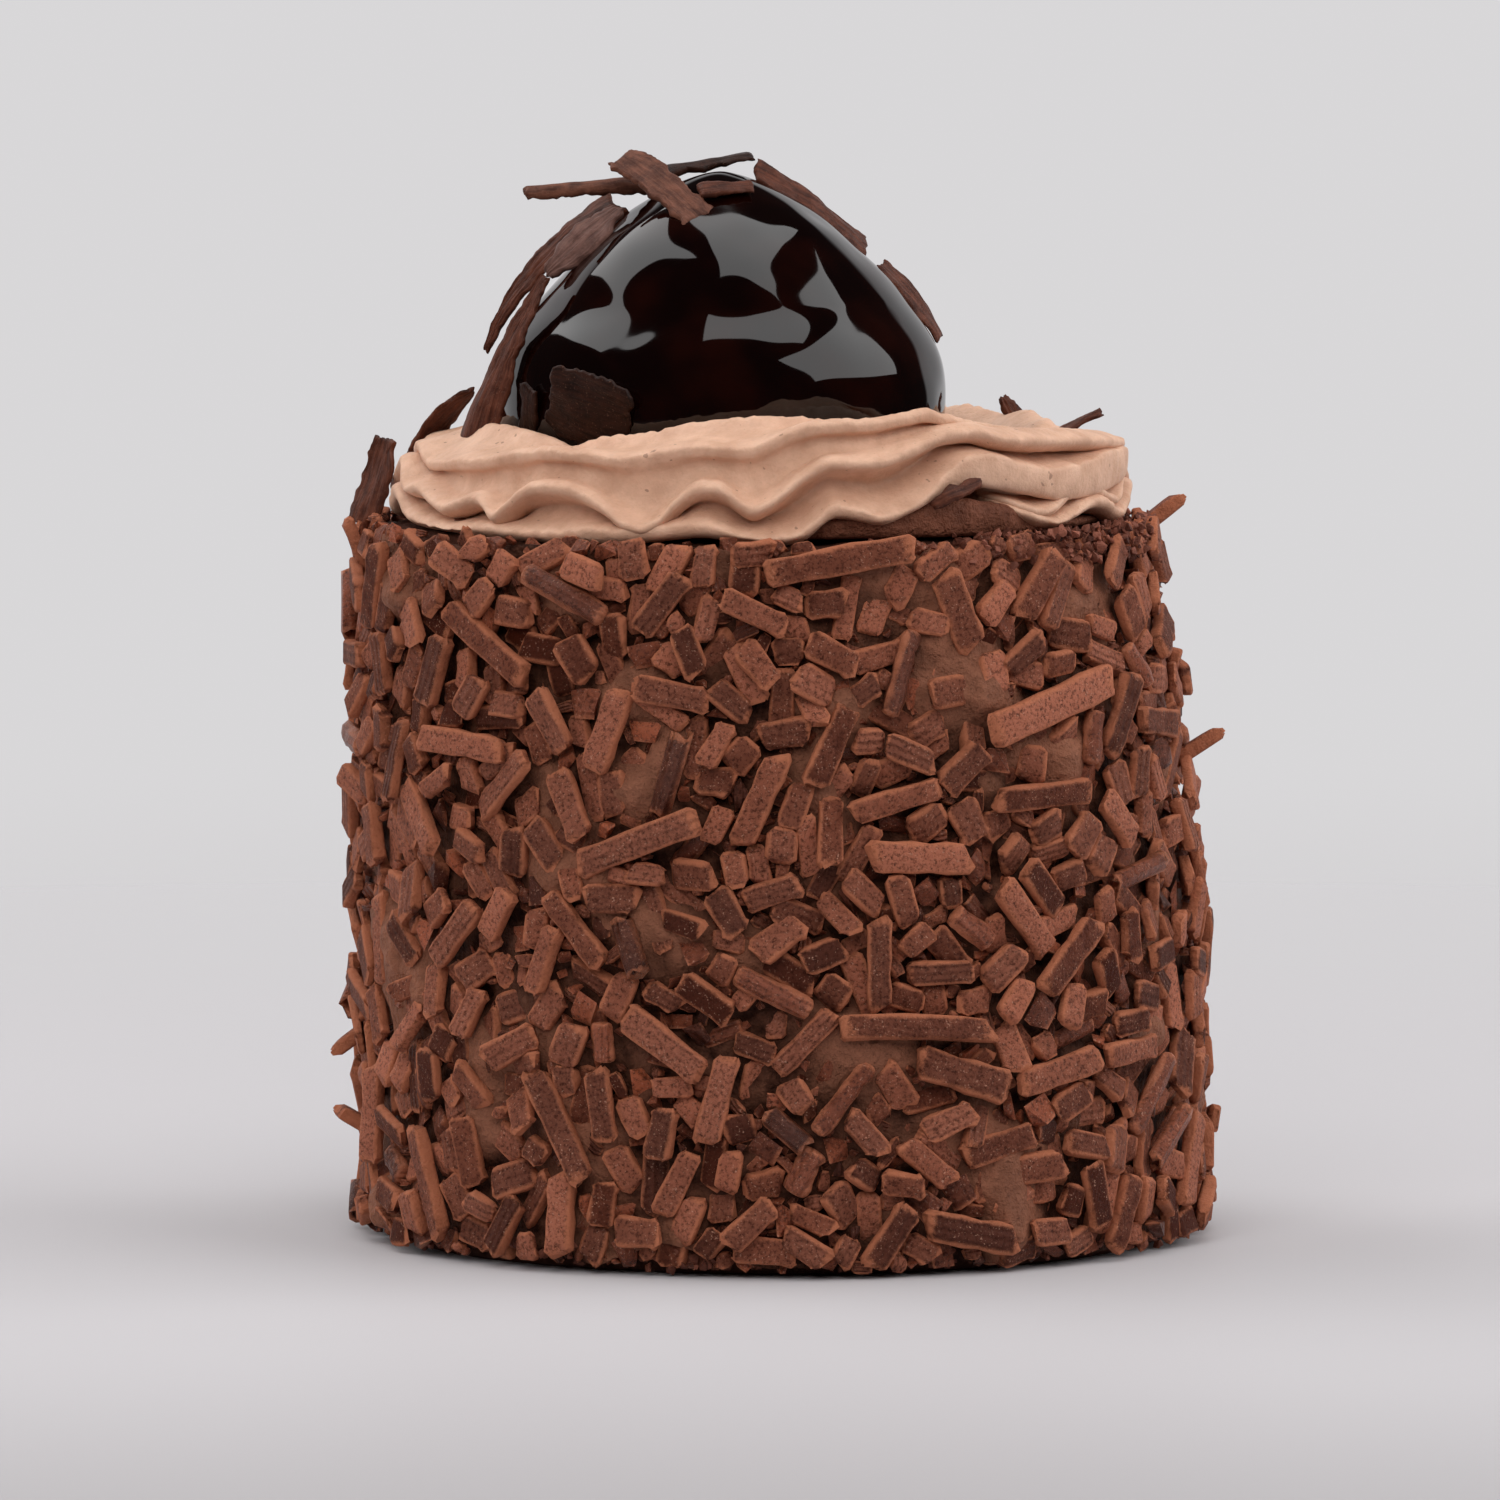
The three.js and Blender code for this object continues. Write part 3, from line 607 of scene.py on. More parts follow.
ROD_LENGTH = 5.0
ROD_SHARE = 0.06  # of the longer flakes
CHIP_SHARE, CRUMB_SHARE = 0.4, 0.8  # how many of the short flakes and of the shortest are chips
LONGEST_CHIP, LONGEST_CRUMB = 3.2, 1.5
PLAIN_RODS, ROLLS, CHIPS = 4, 2, 8  # how many shapes of each there are
flake_random = np.random.default_rng(5)
bars = [bar_shape(f"bar_{i:02d}", length, flake_random)
        for i, length in enumerate(np.repeat(FLAKE_LENGTHS, VARIANTS))]
stubs, bars = bars[:VARIANTS * STUB_LENGTHS], bars[VARIANTS * STUB_LENGTHS:]
bar_items, stub_items, rod_items, chip_items = [], [], [], []
for number, flake in enumerate(lay_flakes()):
    turn, middle = flake_pose(flake, flake_random)
    length, width, thickness = flake.length, flake.width, flake.thickness
    item = {"turn": turn, "middle": middle, "tone": np.clip(flake_random.normal(0.5, 0.22), 0, 1)}
    kind = flake_random.random() if number > len(LARGE_FLAKES) else 1
    chip_share = CHIP_SHARE if length > LONGEST_CRUMB else CRUMB_SHARE
    if kind < ROD_SHARE and length > 3:
        item["shape"] = flake_random.integers(PLAIN_RODS + ROLLS)
        item["size"] = (length / ROD_LENGTH, width / 2 * 0.85, width / 2 * 0.85)
        rod_items.append(item)
    elif kind < chip_share and length < LONGEST_CHIP:
        item["shape"] = flake_random.integers(CHIPS)
        item["size"] = (length, width, thickness * 1.1)
        chip_items.append(item)
    else:
        nearest = nearest_length(length)
        short = nearest < STUB_LENGTHS
        first = (nearest if short else nearest - STUB_LENGTHS) * VARIANTS
        item["shape"] = first + flake_random.integers(VARIANTS)
        item["size"] = (length / FLAKE_LENGTHS[nearest], width / FLAKE_WIDTH, thickness / FLAKE_THICKNESS)
        (stub_items if short else bar_items).append(item)
for angle, z, length, width, direction in STRAY_FLAKES:
    turn, middle = stray_pose(math.radians(angle), z, length, direction)
    nearest = nearest_length(length)
    size = (length / FLAKE_LENGTHS[nearest], width / FLAKE_WIDTH, 1.0)
    bar_items.append({"turn": turn, "middle": middle, "tone": 0.6, "size": size,
                      "shape": (nearest - STUB_LENGTHS) * VARIANTS})

DARK_FLAKE = (0.06, 0.011, 0.004)
bar_finish = chocolate_flake_finish("milk_chocolate_flake", DARK_FLAKE, (0.47, 0.156, 0.09), 0.6, 0.12)
chip_finish = chocolate_flake_finish("broken_chocolate_flake", DARK_FLAKE, (0.42, 0.108, 0.048), 0.34, 0.3)
rods = [rod_shape(f"rod_{i}", ROD_LENGTH, flake_random) for i in range(PLAIN_RODS)]
rods += [roll_shape(f"roll_{i}", ROD_LENGTH, flake_random) for i in range(ROLLS)]
chips = [chip_shape(f"chip_{i}", flake_random) for i in range(CHIPS)]
for name, shapes, items, finish, unevenness in (
    ("flake_bars", bars, bar_items, bar_finish, 0.28),
    ("flake_stubs", stubs, stub_items, bar_finish, 0.28),
    ("flake_chips", chips, chip_items, chip_finish, 0.15),
    ("flake_rods", rods, rod_items, chip_finish, 0.3),
):
    place(name, scattered(name, shapes, items, finish, unevenness, 1.3), finish, "flakes", "flake_coat")


# ---- Chocolate cream coat ----
# Soft chocolate cream, spread round the sponge with a knife. It is squeezed up between the flakes, and is
# smeared over some of them. Its foot is ragged and leaves sponge bare. Where it lies low between the flakes,
# its colour is darkened almost to black as painted shade.

COAT_FOOT = 1.5
LOWEST_CREAM = -2.55  # where no cream was smeared over the flakes
SMEAR_RISE = 2.0  # how much higher it is where most was
COAT_WALL = 3.5  # from the faces of the flakes to the inside of the coat


def blurred(field, steps):
    """Smooths a field over the unrolled side, which joins up with itself round the cake."""
    for _ in range(steps):
        field = (np.roll(field, 1, 0) + field + np.roll(field, -1, 0)) / 3
        padded = np.pad(field, ((0, 0), (1, 1)), mode="edge")
        field = (padded[:, :-2] + padded[:, 1:-1] + padded[:, 2:]) / 3
    return field


def smooth_step(low, high, value):
    share = np.clip((value - low) / (high - low), 0, 1)
    return share * share * (3 - 2 * share)


def coat_mesh():
    columns, rows = 560, 150
    angle = np.linspace(-math.pi, math.pi, columns, endpoint=False)[None, :]
    rim = around(angle, CAKE_RADIUS, 0)
    foot = COAT_FOOT + 1.6 * np.clip(noise(rim + 4, 7, octaves=2), -0.4, 1.4)
    top = CAKE_HEIGHT - 0.8 + 0.5 * noise(rim + 9, 4, octaves=2)
    height = foot + (top - foot) * np.linspace(0, 1, rows)[:, None]
    angle = angle + 0 * height
    crowded = blurred((underside < OPEN).astype(float), 5)
    column = np.round(angle * MEAN_RADIUS / SPOT).astype(int) % spots_round
    row = np.clip(height / SPOT, 0, spots_up - 1).astype(int)
    smear = np.clip(1.3 * smear_at(angle, height) - 0.2, 0, 1)
    level = LOWEST_CREAM + SMEAR_RISE * smear**1.5 + 0.3 * crowded[column, row] ** 2
    level += 0.3 * noise(around(angle, CAKE_RADIUS, height), 2.6, octaves=3)
    inside = on_side(angle, height, COAT_WALL)[[-1, 0]]
    corners = np.concatenate([on_side(angle, height, -level), inside])
    mesh = smooth_mesh("coat_cream", corners, ring_faces(len(corners), columns, closed=True))
    # thick: how high the cream stands. The finish darkens the low cream almost to black, as painted shade
    # deep between the flakes.
    thick = mesh.attributes.new("thick", "FLOAT", "POINT")
    level = np.concatenate([level, level[:2]])
    thick.data.foreach_set("value", smooth_step(-2.4, -1.3, level).ravel())
    return mesh


def chocolate_cream_finish(name, dark, light, thick=None):
    finish = Finish(name, 0.55, 0.1)
    streaks = finish.noise(2.2, 4, 0.6)
    pits = finish.noise(0.35, 3, 0.6)
    share = streaks.between(0.3, 0.7)
    # Where it is given, the attribute darkens low cream towards the dark colour: painted shade between the
    # flakes.
    if thick:
        share = share * 0.35 + finish.attribute(thick) * 0.65
    body = finish.mix(share, dark, light)
    finish.set("Base Color", finish.mix(pits.between(0.58, 0.75) * 0.4, body, dark))
    finish.bump((streaks, 1.0), (pits, 0.3))
    return finish.material


# The coat's near-black dark colour is painted shade for cream that lies deep between the flakes.
coat_finish = chocolate_cream_finish("chocolate_cream_coat", (0.008, 0.0012, 0.0004), (0.28, 0.11, 0.064),
                                     "thick")
place("coat_cream", coat_mesh(), coat_finish, "flakes", "flake_coat")


# ---- Chocolate cream on top ----
# A thin bed of chocolate cream, levelled on the sponge with a knife. It shows only at the front right, where
# it was pushed out from under the piped cream.

SPREAD_RADIUS = 32.4
SPREAD_FOOT = 66.3
SPREAD_TOP = 67.2
RING_MIDDLE = -2.0  # the piped ring stands a little off the middle of the cake
HUMP_MIDDLE = math.radians(-60)
HUMP_REACH = math.radians(24)
HUMP_RISE = 2.6


def spread_mesh():
    angle = np.linspace(-math.pi, math.pi, 480, endpoint=False)[None, :]
    # Each row: share of the radius, height, and how much of the hump's rise it takes.
    profile = np.array([
        (0.5, SPREAD_FOOT, 0), (0.985, SPREAD_FOOT, 0), (0.996, SPREAD_FOOT + 0.15, 0.1), (1.0, 66.6, 0.25),
        (1.004, 66.75, 0.5), (1.004, 66.9, 0.7), (1.0, 67.05, 0.85), (0.99, 67.15, 0.95),
        (0.975, SPREAD_TOP, 1), (0.955, SPREAD_TOP, 1), (0.93, SPREAD_TOP, 0.7), (0.9, SPREAD_TOP, 0.35),
        (0.86, SPREAD_TOP, 0), (0.5, SPREAD_TOP, 0),
    ])
    share, height, rise = (profile[:, i:i + 1] for i in range(3))
    hump = np.clip(1 - ((angle - HUMP_MIDDLE) / HUMP_REACH) ** 2, 0, 1)
    edge = np.clip((share - 0.86) / 0.1, 0, 1)
    radius = share * SPREAD_RADIUS + edge * (1.4 * hump + 0.3 * np.sin(7 * angle))
    corners = around(angle, radius, height + HUMP_RISE * hump * rise, RING_MIDDLE)
    lumps = 0.35 * edge * noise(corners, 3.5, octaves=3)
    corners[..., 0] += lumps * np.cos(angle)
    corners[..., 1] += lumps * np.sin(angle)
    corners[..., 2] += 0.8 * lumps * hump * rise
    return smooth_mesh("cream_bed", corners, capped_faces(*corners.shape[:2]))


bed_finish = chocolate_cream_finish("chocolate_cream_bed", (0.13, 0.045, 0.026), (0.24, 0.088, 0.052))
place("cream_bed", spread_mesh(), bed_finish, "chocolate_cream", "cream_spread")


# ---- Piped cream ----
# Pale chocolate cream, whipped stiff and piped in one ruffled rope round the bun. The slots of the nozzle
# drew four ledges: the lower two droop in waves over the coat. The rope's end climbs over its start.

ROPE_START, ROPE_END = -50, 358  # degrees round the ring
ROPE_FOOT = 67.3
EVEN_WAVES = 15  # how many waves the ledges make in one turn, where the photo does not show them
# Heights of the ledges round the front, as seen: degrees round the ring and millimetres.
TOP_EDGE = [
    (194, 75.5), (208, 75.4), (220, 75.0), (229, 73.9), (235, 74.9), (242, 75.2), (250, 75.7), (256, 76.5),
    (270, 77.1), (277, 77.0), (300, 76.4), (330, 74.6), (360, 74.0),
]
UPPER_LEDGE = [
    (194, 72.0), (208, 72.8), (217, 73.1), (224, 73.8), (231, 74.3), (238, 74.2), (247, 73.8), (251, 74.2),
    (256, 74.8), (261, 75.0), (268, 74.8), (271, 75.4), (274, 76.3), (279, 77.0), (289, 77.1), (298, 77.9),
    (306, 76.7), (325, 75.0), (345, 74.2), (360, 73.8),
]
MIDDLE_LEDGE = [
    (200, 70.4), (211, 68.6), (218, 69.8), (221, 69.7), (225, 67.9), (227, 69.6), (230, 70.9), (234, 71.2),
    (238, 71.1), (241, 70.6), (245, 69.6), (248, 68.2), (252, 67.6), (254, 68.3), (257, 70.3), (260, 71.6),
    (264, 71.4), (267, 69.9), (269, 69.3), (273, 70.8), (276, 72.3), (280, 73.7), (289, 73.7), (295, 74.9),
    (300, 76.1), (306, 76.3), (310, 75.5), (320, 75.1), (330, 74.9), (345, 74.2), (360, 73.6),
]
LOWER_LEDGE = [
    (200, 67.4), (212, 66.8), (222, 67.2), (235, 67.0), (240, 67.3), (250, 67.5), (261, 68.2), (266, 67.2),
    (272, 66.9), (276, 67.2), (278, 68.4), (281, 69.9), (285, 69.4), (289, 68.6), (293, 69.4), (298, 71.5),
    (302, 73.5), (307, 74.0), (312, 73.2), (320, 72.1), (329, 72.4), (340, 73.1), (350, 73.2), (360, 72.6),
]
LOWEST_EDGE = [
    (200, 66.4), (235, 65.9), (250, 66.1), (261, 66.8), (272, 65.9), (277, 66.4), (281, 68.5), (285, 68.1),
    (289, 67.5), (295, 68.9), (299, 70.3), (304, 71.5), (307, 70.9), (316, 70.1), (324, 69.2), (335, 69.4),
    (346, 70.0), (360, 70.6),
]


def ledge_height(degrees, seen, even):
    """Height of a ledge: as seen round the front, and in even waves round the back."""
    at, heights = np.array(seen).T
    fine = np.interp(degrees, at, heights)
    softened = np.convolve(np.pad(fine, 3, mode="edge"), np.hanning(9)[1:-1] / 4, mode="valid")
    return even + (softened - even) * smooth_step(188, 204, degrees)


def spline_round(outlines, steps):
    """Smooth closed curves: each row of points becomes a row of steps times as many."""
    before, start, end, after = (np.roll(outlines, shift, axis=1)[:, :, None] for shift in (1, 0, -1, -2))
    t = (np.arange(steps) / steps)[:, None]
    pull = t * (3 * (start - end) + after - before)
    curve = start + 0.5 * t * (end - before + t * (2 * before - 5 * start + 4 * end - after + pull))
    return curve.reshape(len(outlines), -1, outlines.shape[-1])


def rope_mesh():
    degrees = np.linspace(ROPE_START, ROPE_END, 640)
    wave = np.cos(np.radians(EVEN_WAVES * (degrees + 101)))
    late_wave = np.cos(np.radians(EVEN_WAVES * (degrees + 98)))
    lowered = 1 - 0.35 * (1 - smooth_step(-42, 4, degrees))
    even_heights = (75.3 + 0.3 * wave, 73.2 + 0.5 * wave, 70.8 + 1.4 * wave, 68.9 + 1.0 * late_wave,
                    67.4 + 0.9 * late_wave)
    seen = (TOP_EDGE, UPPER_LEDGE, MIDDLE_LEDGE, LOWER_LEDGE, LOWEST_EDGE)
    top, upper, middle, lower, lowest = (
        ledge_height(degrees, heights, ROPE_FOOT + (even - ROPE_FOOT) * lowered)
        for heights, even in zip(seen, even_heights))
    run = around(np.radians(degrees), 33, degrees / 9)
    ragged = [0.14 * noise(run + 7 * i, 0.9, octaves=2) for i in range(4)]
    mean_middle = np.convolve(np.pad(middle, 24, mode="edge"), np.hanning(49) / 24, mode="valid")
    dip = np.clip(mean_middle - middle, -1, 2)
    groove = np.maximum(middle + 0.55 + 0.5 * dip, middle + 0.3)
    below = np.maximum(0.5 * (middle - 1.8) + 0.5 * (lower + 1.3), lower + 0.5)
    foot = ROPE_FOOT + np.clip(lowest - ROPE_FOOT + 0.4, 0, 4) * smooth_step(276, 318, degrees)
    out = 4.2 * smooth_step(288, 330, degrees)  # the end runs further out, over the coat
    # The rope's section, from its foot up the inside and down over the ledges: radius and height.
    outline = [
        (22.4 + out, foot), (21.8 + out, foot + 2.4), (22.6 + out, top - 2.6), (24.4 + out, top - 0.7),
        (26.3 + out, top + ragged[0]), (27.6 + 0.9 * out, top - 1.0),
        (29.3 + 0.5 * out, 0.45 * top + 0.55 * upper - 0.5), (31.0 + 0.2 * out, upper + ragged[1]),
        (31.9, upper - 0.4 + ragged[1]), (31.7, upper - 1.2), (31.0, 0.65 * upper + 0.35 * groove - 0.5),
        (30.9, 0.3 * upper + 0.7 * groove - 0.1), (31.5, groove), (32.8 + 0.2 * dip, middle + 0.2),
        (33.8 + 0.4 * dip, middle - 0.3 + ragged[2]), (33.6 + 0.4 * dip, middle - 1.0), (32.1, middle - 1.6),
        (30.8, below), (31.8, 0.5 * below + 0.5 * lower), (33.5, lower + 0.05 + ragged[3]),
        (34.2, lower - 0.45 + ragged[3]), (33.9, lowest + 0.1), (32.6, lowest - 0.25), (30.5, foot),
        (26.5 + out / 2, foot),
    ]
    section = spline_round(np.stack([grid(radius, height) for radius, height in outline], axis=1), 5)
    from_end = np.minimum(degrees - ROPE_START, ROPE_END - degrees) / 9
    girth = 0.25 + 0.75 * np.sqrt(1 - (1 - np.clip(from_end, 0, 1)) ** 2)
    centre = section.mean(axis=1, keepdims=True)
    section = centre + (section - centre) * girth[:, None, None]
    drawn = grid(degrees[:, None] * 0.58, section[..., 1] * 0.35, section[..., 0] * 0.35)
    drag = 0.07 * noise(drawn, 0.8, octaves=2)
    turn = np.radians(degrees)[:, None]
    corners = around(turn, section[..., 0] + drag, section[..., 1] + 0.6 * drag, RING_MIDDLE)
    return smooth_mesh("ruffled_rope", corners, capped_faces(*corners.shape[:2]))


cream_finish = Finish("piped_chocolate_cream", 0.5, 0.35)
cream_finish.set("Subsurface Weight", 0.06)
cream_finish.set("Subsurface Radius", (1.0, 0.5, 0.3))
cream_finish.set("Subsurface Scale", 1.2 * MM)
cream_streaks = cream_finish.noise(3.0, 4, 0.6)
cream_grain = cream_finish.noise(0.3, 4, 0.65)
cream_specks = cream_finish.noise(0.8, 1).between(0.73, 0.77)
cream_body = cream_finish.mix(cream_streaks.between(0.3, 0.7), (0.6, 0.345, 0.23), (0.75, 0.465, 0.325))
cream_body = cream_finish.mix(cream_grain.between(0.55, 0.75) * 0.2, cream_body, (0.34, 0.17, 0.11))
cream_finish.set("Base Color", cream_finish.mix(cream_specks * 0.6, cream_body, (0.2, 0.09, 0.055)))
cream_finish.bump((cream_streaks, 0.25), (cream_grain, 0.09))
place("ruffled_rope", rope_mesh(), cream_finish.material, "piped_cream", "piped_cream")


# ---- Choux bun ----
# A round choux bun, baked with a few lumps and dipped in dark chocolate glaze that set mirror bright.
# The glaze evens out the small wrinkles of the crust and leaves the large ones.

BUN_MIDDLE = -5.6
BUN_WAIST = 79.5
BUN_RADIUS = 20.6
BUN_TOP = 18.9  # from the waist to the crown
BUN_UNDER = 14.5
BUN_ROUNDNESS = 1.43
# Lumps of the crust: azimuth and height of the middle, how far it stands out, and its reach.
BUN_LUMPS = [
    (-136, 90.6, 0.65, 5.6), (-83, 90.3, 0.65, 5.0), (-59, 84.0, 0.55, 6.0), (-40, 93.0, 0.45, 3.4),
    (-110, 79.5, 0.2, 4.5), (-10, 86.0, 0.7, 7.0), (35, 84.0, 0.8, 7.0), (70, 90.0, 0.7, 6.0),
    (105, 82.0, 0.8, 7.0), (135, 91.0, 0.6, 5.5), (175, 83.0, 0.7, 6.5),
]


def bun_point(azimuth, fall):
    """A point of the bun, from an angle round it and an angle down from its crown."""
    above = fall <= math.pi / 2
    power = np.where(above, BUN_ROUNDNESS, 1.0)
    lump = 1 + 0.014 * np.sin(3 * azimuth + 1) * np.sin(2 * fall) + 0.01 * np.sin(5 * azimuth)
    radius = BUN_RADIUS * lump * np.maximum(np.sin(fall), 0) ** power
    height = np.where(above, BUN_TOP, BUN_UNDER) * np.sign(np.cos(fall)) * np.abs(np.cos(fall)) ** power
    return around(azimuth, radius, np.maximum(BUN_WAIST + height, ROPE_FOOT + 0.2), BUN_MIDDLE)


def bun_fall(height):
    rise = (height - BUN_WAIST) / (BUN_TOP if height > BUN_WAIST else BUN_UNDER)
    return math.acos(rise ** (1 / BUN_ROUNDNESS)) if rise > 0 else math.acos(rise)


def bun_mesh():
    """The bun as it shows: it goes on widening down to the piped cream, so its waist is a little lower."""
    waist, widest, roundness = BUN_WAIST - 3, BUN_RADIUS + 0.2, 0.625
    azimuth = np.linspace(-math.pi, math.pi, 280, endpoint=False)[None, :]
    fall = np.linspace(math.radians(125), math.radians(1.5), 190)[:, None]
    above = np.maximum(np.cos(fall), 0)
    below = np.minimum(np.cos(fall), 0)
    narrowing = above**1.47 * smooth_step(0, 0.45, above)
    radius = widest * (1 - narrowing) ** roundness * np.sqrt(1 - below**2)
    height = waist + (BUN_WAIST + BUN_TOP - waist) * above + BUN_UNDER * below
    corners = around(azimuth, radius, height, BUN_MIDDLE)
    middle = np.array([BUN_MIDDLE, 0, BUN_WAIST - 4])
    out = (corners - middle) / np.linalg.norm(corners - middle, axis=-1, keepdims=True)
    rise = 0.1 * noise(corners, 3.5) - 0.3
    for turn, tall, stands, reach in BUN_LUMPS:
        centre = bun_point(math.radians(turn), bun_fall(tall))
        rise += stands * np.exp(-np.sum((corners - centre) ** 2, axis=-1) / reach**2)
    corners += out * (rise * smooth_step(ROPE_FOOT, 74, height))[..., None]
    corners[..., 2] = np.maximum(corners[..., 2], ROPE_FOOT + 0.1)
    return smooth_mesh("glazed_bun", corners, capped_faces(*corners.shape[:2]))


glaze_finish = Finish("dark_glaze", 0.04, 0.5)
glaze_depth = glaze_finish.noise(7, 2).between(0.4, 0.75)
glaze_body = glaze_finish.mix(glaze_depth, (0.0025, 0.0003, 0.0002), (0.009, 0.0012, 0.0005))
glaze_finish.set("Base Color", glaze_body)
place("glazed_bun", bun_mesh(), glaze_finish.material, "glaze", "choux_bun")


# ---- Shavings ----
# Thin curled shavings, scraped from a block of dark chocolate and dropped on and round the bun. They have a
# scraped grain along their length, and crumbling ends and edges.

SHAVING_THICKNESS = 0.55
LANES = 6  # rows of faces for each millimetre


def on_bun(azimuth, height, heading, lift=0.0):
    """Lays a shaving on the bun: its middle, the way its length runs and the way its broad face looks."""
    turn, fall = math.radians(azimuth), bun_fall(height)
    up_slope = Vector(bun_point(turn, fall - 0.02) - bun_point(turn, fall + 0.02)).normalized()
    round_bun = Vector((-math.sin(turn), math.cos(turn), 0))
    face = round_bun.cross(up_slope).normalized()
    along = round_bun * math.cos(math.radians(heading)) + up_slope * math.sin(math.radians(heading))
    return Vector(bun_point(turn, fall)) + face * (0.4 + lift), along, face


def standing(at, along, face):
    return Vector(at), Vector(along).normalized(), Vector(face).normalized()


def bend(distance, offset, degrees, length):
    """Bends a coordinate pair along an arc, so that a flat sheet keeps its length."""
    if not degrees:
        return distance, offset
    arc = length / math.radians(degrees)
    turn = distance / arc
    return (arc + offset) * np.sin(turn), (arc + offset) * np.cos(turn) - arc


def shaving_mesh(name, pose, length, width, curl=0.0, cup=0.0, taper=0.0, leaf=0.0, roll=0.0, seed=0):
    """A shaving. It bends along its length and across, and may be rolled on it to face the front."""
    random = np.random.default_rng(seed)
    stations, lanes = max(16, int(length * LANES)), max(12, int(width * LANES))
    share = np.linspace(0, 1, stations)[:, None]
    lane = np.linspace(-1, 1, lanes)[None, :]
    flat = grid(share * length, lane * width / 2, 0) + random.uniform(0, 40, 3)
    narrow = (1 - taper * share) * (1 - leaf * (2 * share - 1) ** 2)
    x = (share - 0.5) * length + (2 * share - 1) * 0.38 * noise(flat * (0, 1, 1), 1.1, octaves=3)
    y = lane * width / 2 * narrow + lane * 0.32 * noise(flat * (1, 0, 1) + lane[..., None], 1.1, octaves=3)
    wave = 0.12 * np.sin(5 * share + y) + 0.16 * noise(flat, 3.0, octaves=2)
    grain = 0.09 * noise(flat * (0.12, 1, 1), 0.5, octaves=2)
    rim = np.minimum(np.minimum(share, 1 - share) * length, (1 - np.abs(lane)) * width / 2)
    half = SHAVING_THICKNESS / 2 * (0.35 + 0.65 * np.sqrt(np.clip(rim / 0.35, 0, 1)))
    sides = []
    for face in (1, -1):
        side, fold = bend(y, wave + face * (half + grain), cup, width)
        ahead, rise = bend(x, fold, curl, length)
        sides.append(grid(ahead, side, rise))
    at, along, face = pose
    across = face.cross(along).normalized()
    lean = math.copysign(math.radians(roll), across.y)
    face = face * math.cos(lean) - across * math.sin(lean)
    across = face.cross(along).normalized()
    basis = np.array([along, across, along.cross(across)])
    corners = np.stack(sides) @ basis + np.array(at)
    row, column = np.arange(stations - 1)[:, None] * lanes, np.arange(lanes - 1)[None, :]
    first = row + column
    upper = np.stack([first, first + lanes, first + lanes + 1, first + 1], axis=-1).reshape(-1, 4)
    lower = upper[:, ::-1] + stations * lanes
    border = np.concatenate([np.arange(0, stations * lanes, lanes)[:-1],
                             np.arange(lanes - 1) + (stations - 1) * lanes,
                             np.arange(stations * lanes - 1, lanes - 1, -lanes),
                             np.arange(lanes - 1, 0, -1)])
    after = np.roll(border, -1)
    wall = np.stack([after, border, border + stations * lanes, after + stations * lanes], axis=-1)
    mesh = smooth_mesh(name, corners, np.concatenate([upper, lower, wall]).tolist())
    sheet = mesh.attributes.new("sheet", "FLOAT_VECTOR", "POINT")
    sheet.data.foreach_set("vector", (np.broadcast_to(flat, (2, *flat.shape)) * MM).ravel())
    return mesh


def shaved_finish(name, dark, light, gloss):
    finish = Finish(name, gloss, 0.2)
    sheet = finish.attribute("sheet", "Vector")
    drawn = finish.add("ShaderNodeVectorMath", {"operation": "MULTIPLY"}, {0: sheet, 1: (0.1, 1.0, 1.0)})
    grain = finish.noise(0.35, 4, 0.65, position=drawn)
    blotches = finish.noise(1.6, 3, 0.6, position=sheet)
    dust = finish.noise(0.16, 1).between(0.64, 0.74)
    body = finish.mix((grain * 0.6 + blotches * 0.5).between(0.35, 0.75), dark, light)
    finish.set("Base Color", finish.mix(dust * 0.25, body, (0.3, 0.15, 0.1)))
    finish.bump((blotches, 0.2), (grain, 0.12))
    return finish.material


milky = shaved_finish("shaved_milky_face", (0.045, 0.013, 0.007), (0.19, 0.071, 0.043), 0.5)
satin = shaved_finish("shaved_satin_face", (0.07, 0.03, 0.023), (0.19, 0.095, 0.075), 0.42)
brown = shaved_finish("shaved_brown_face", (0.03, 0.0075, 0.004), (0.135, 0.04, 0.021), 0.5)
dusky = shaved_finish("shaved_dark_face", (0.008, 0.0025, 0.0015), (0.035, 0.011, 0.006), 0.45)

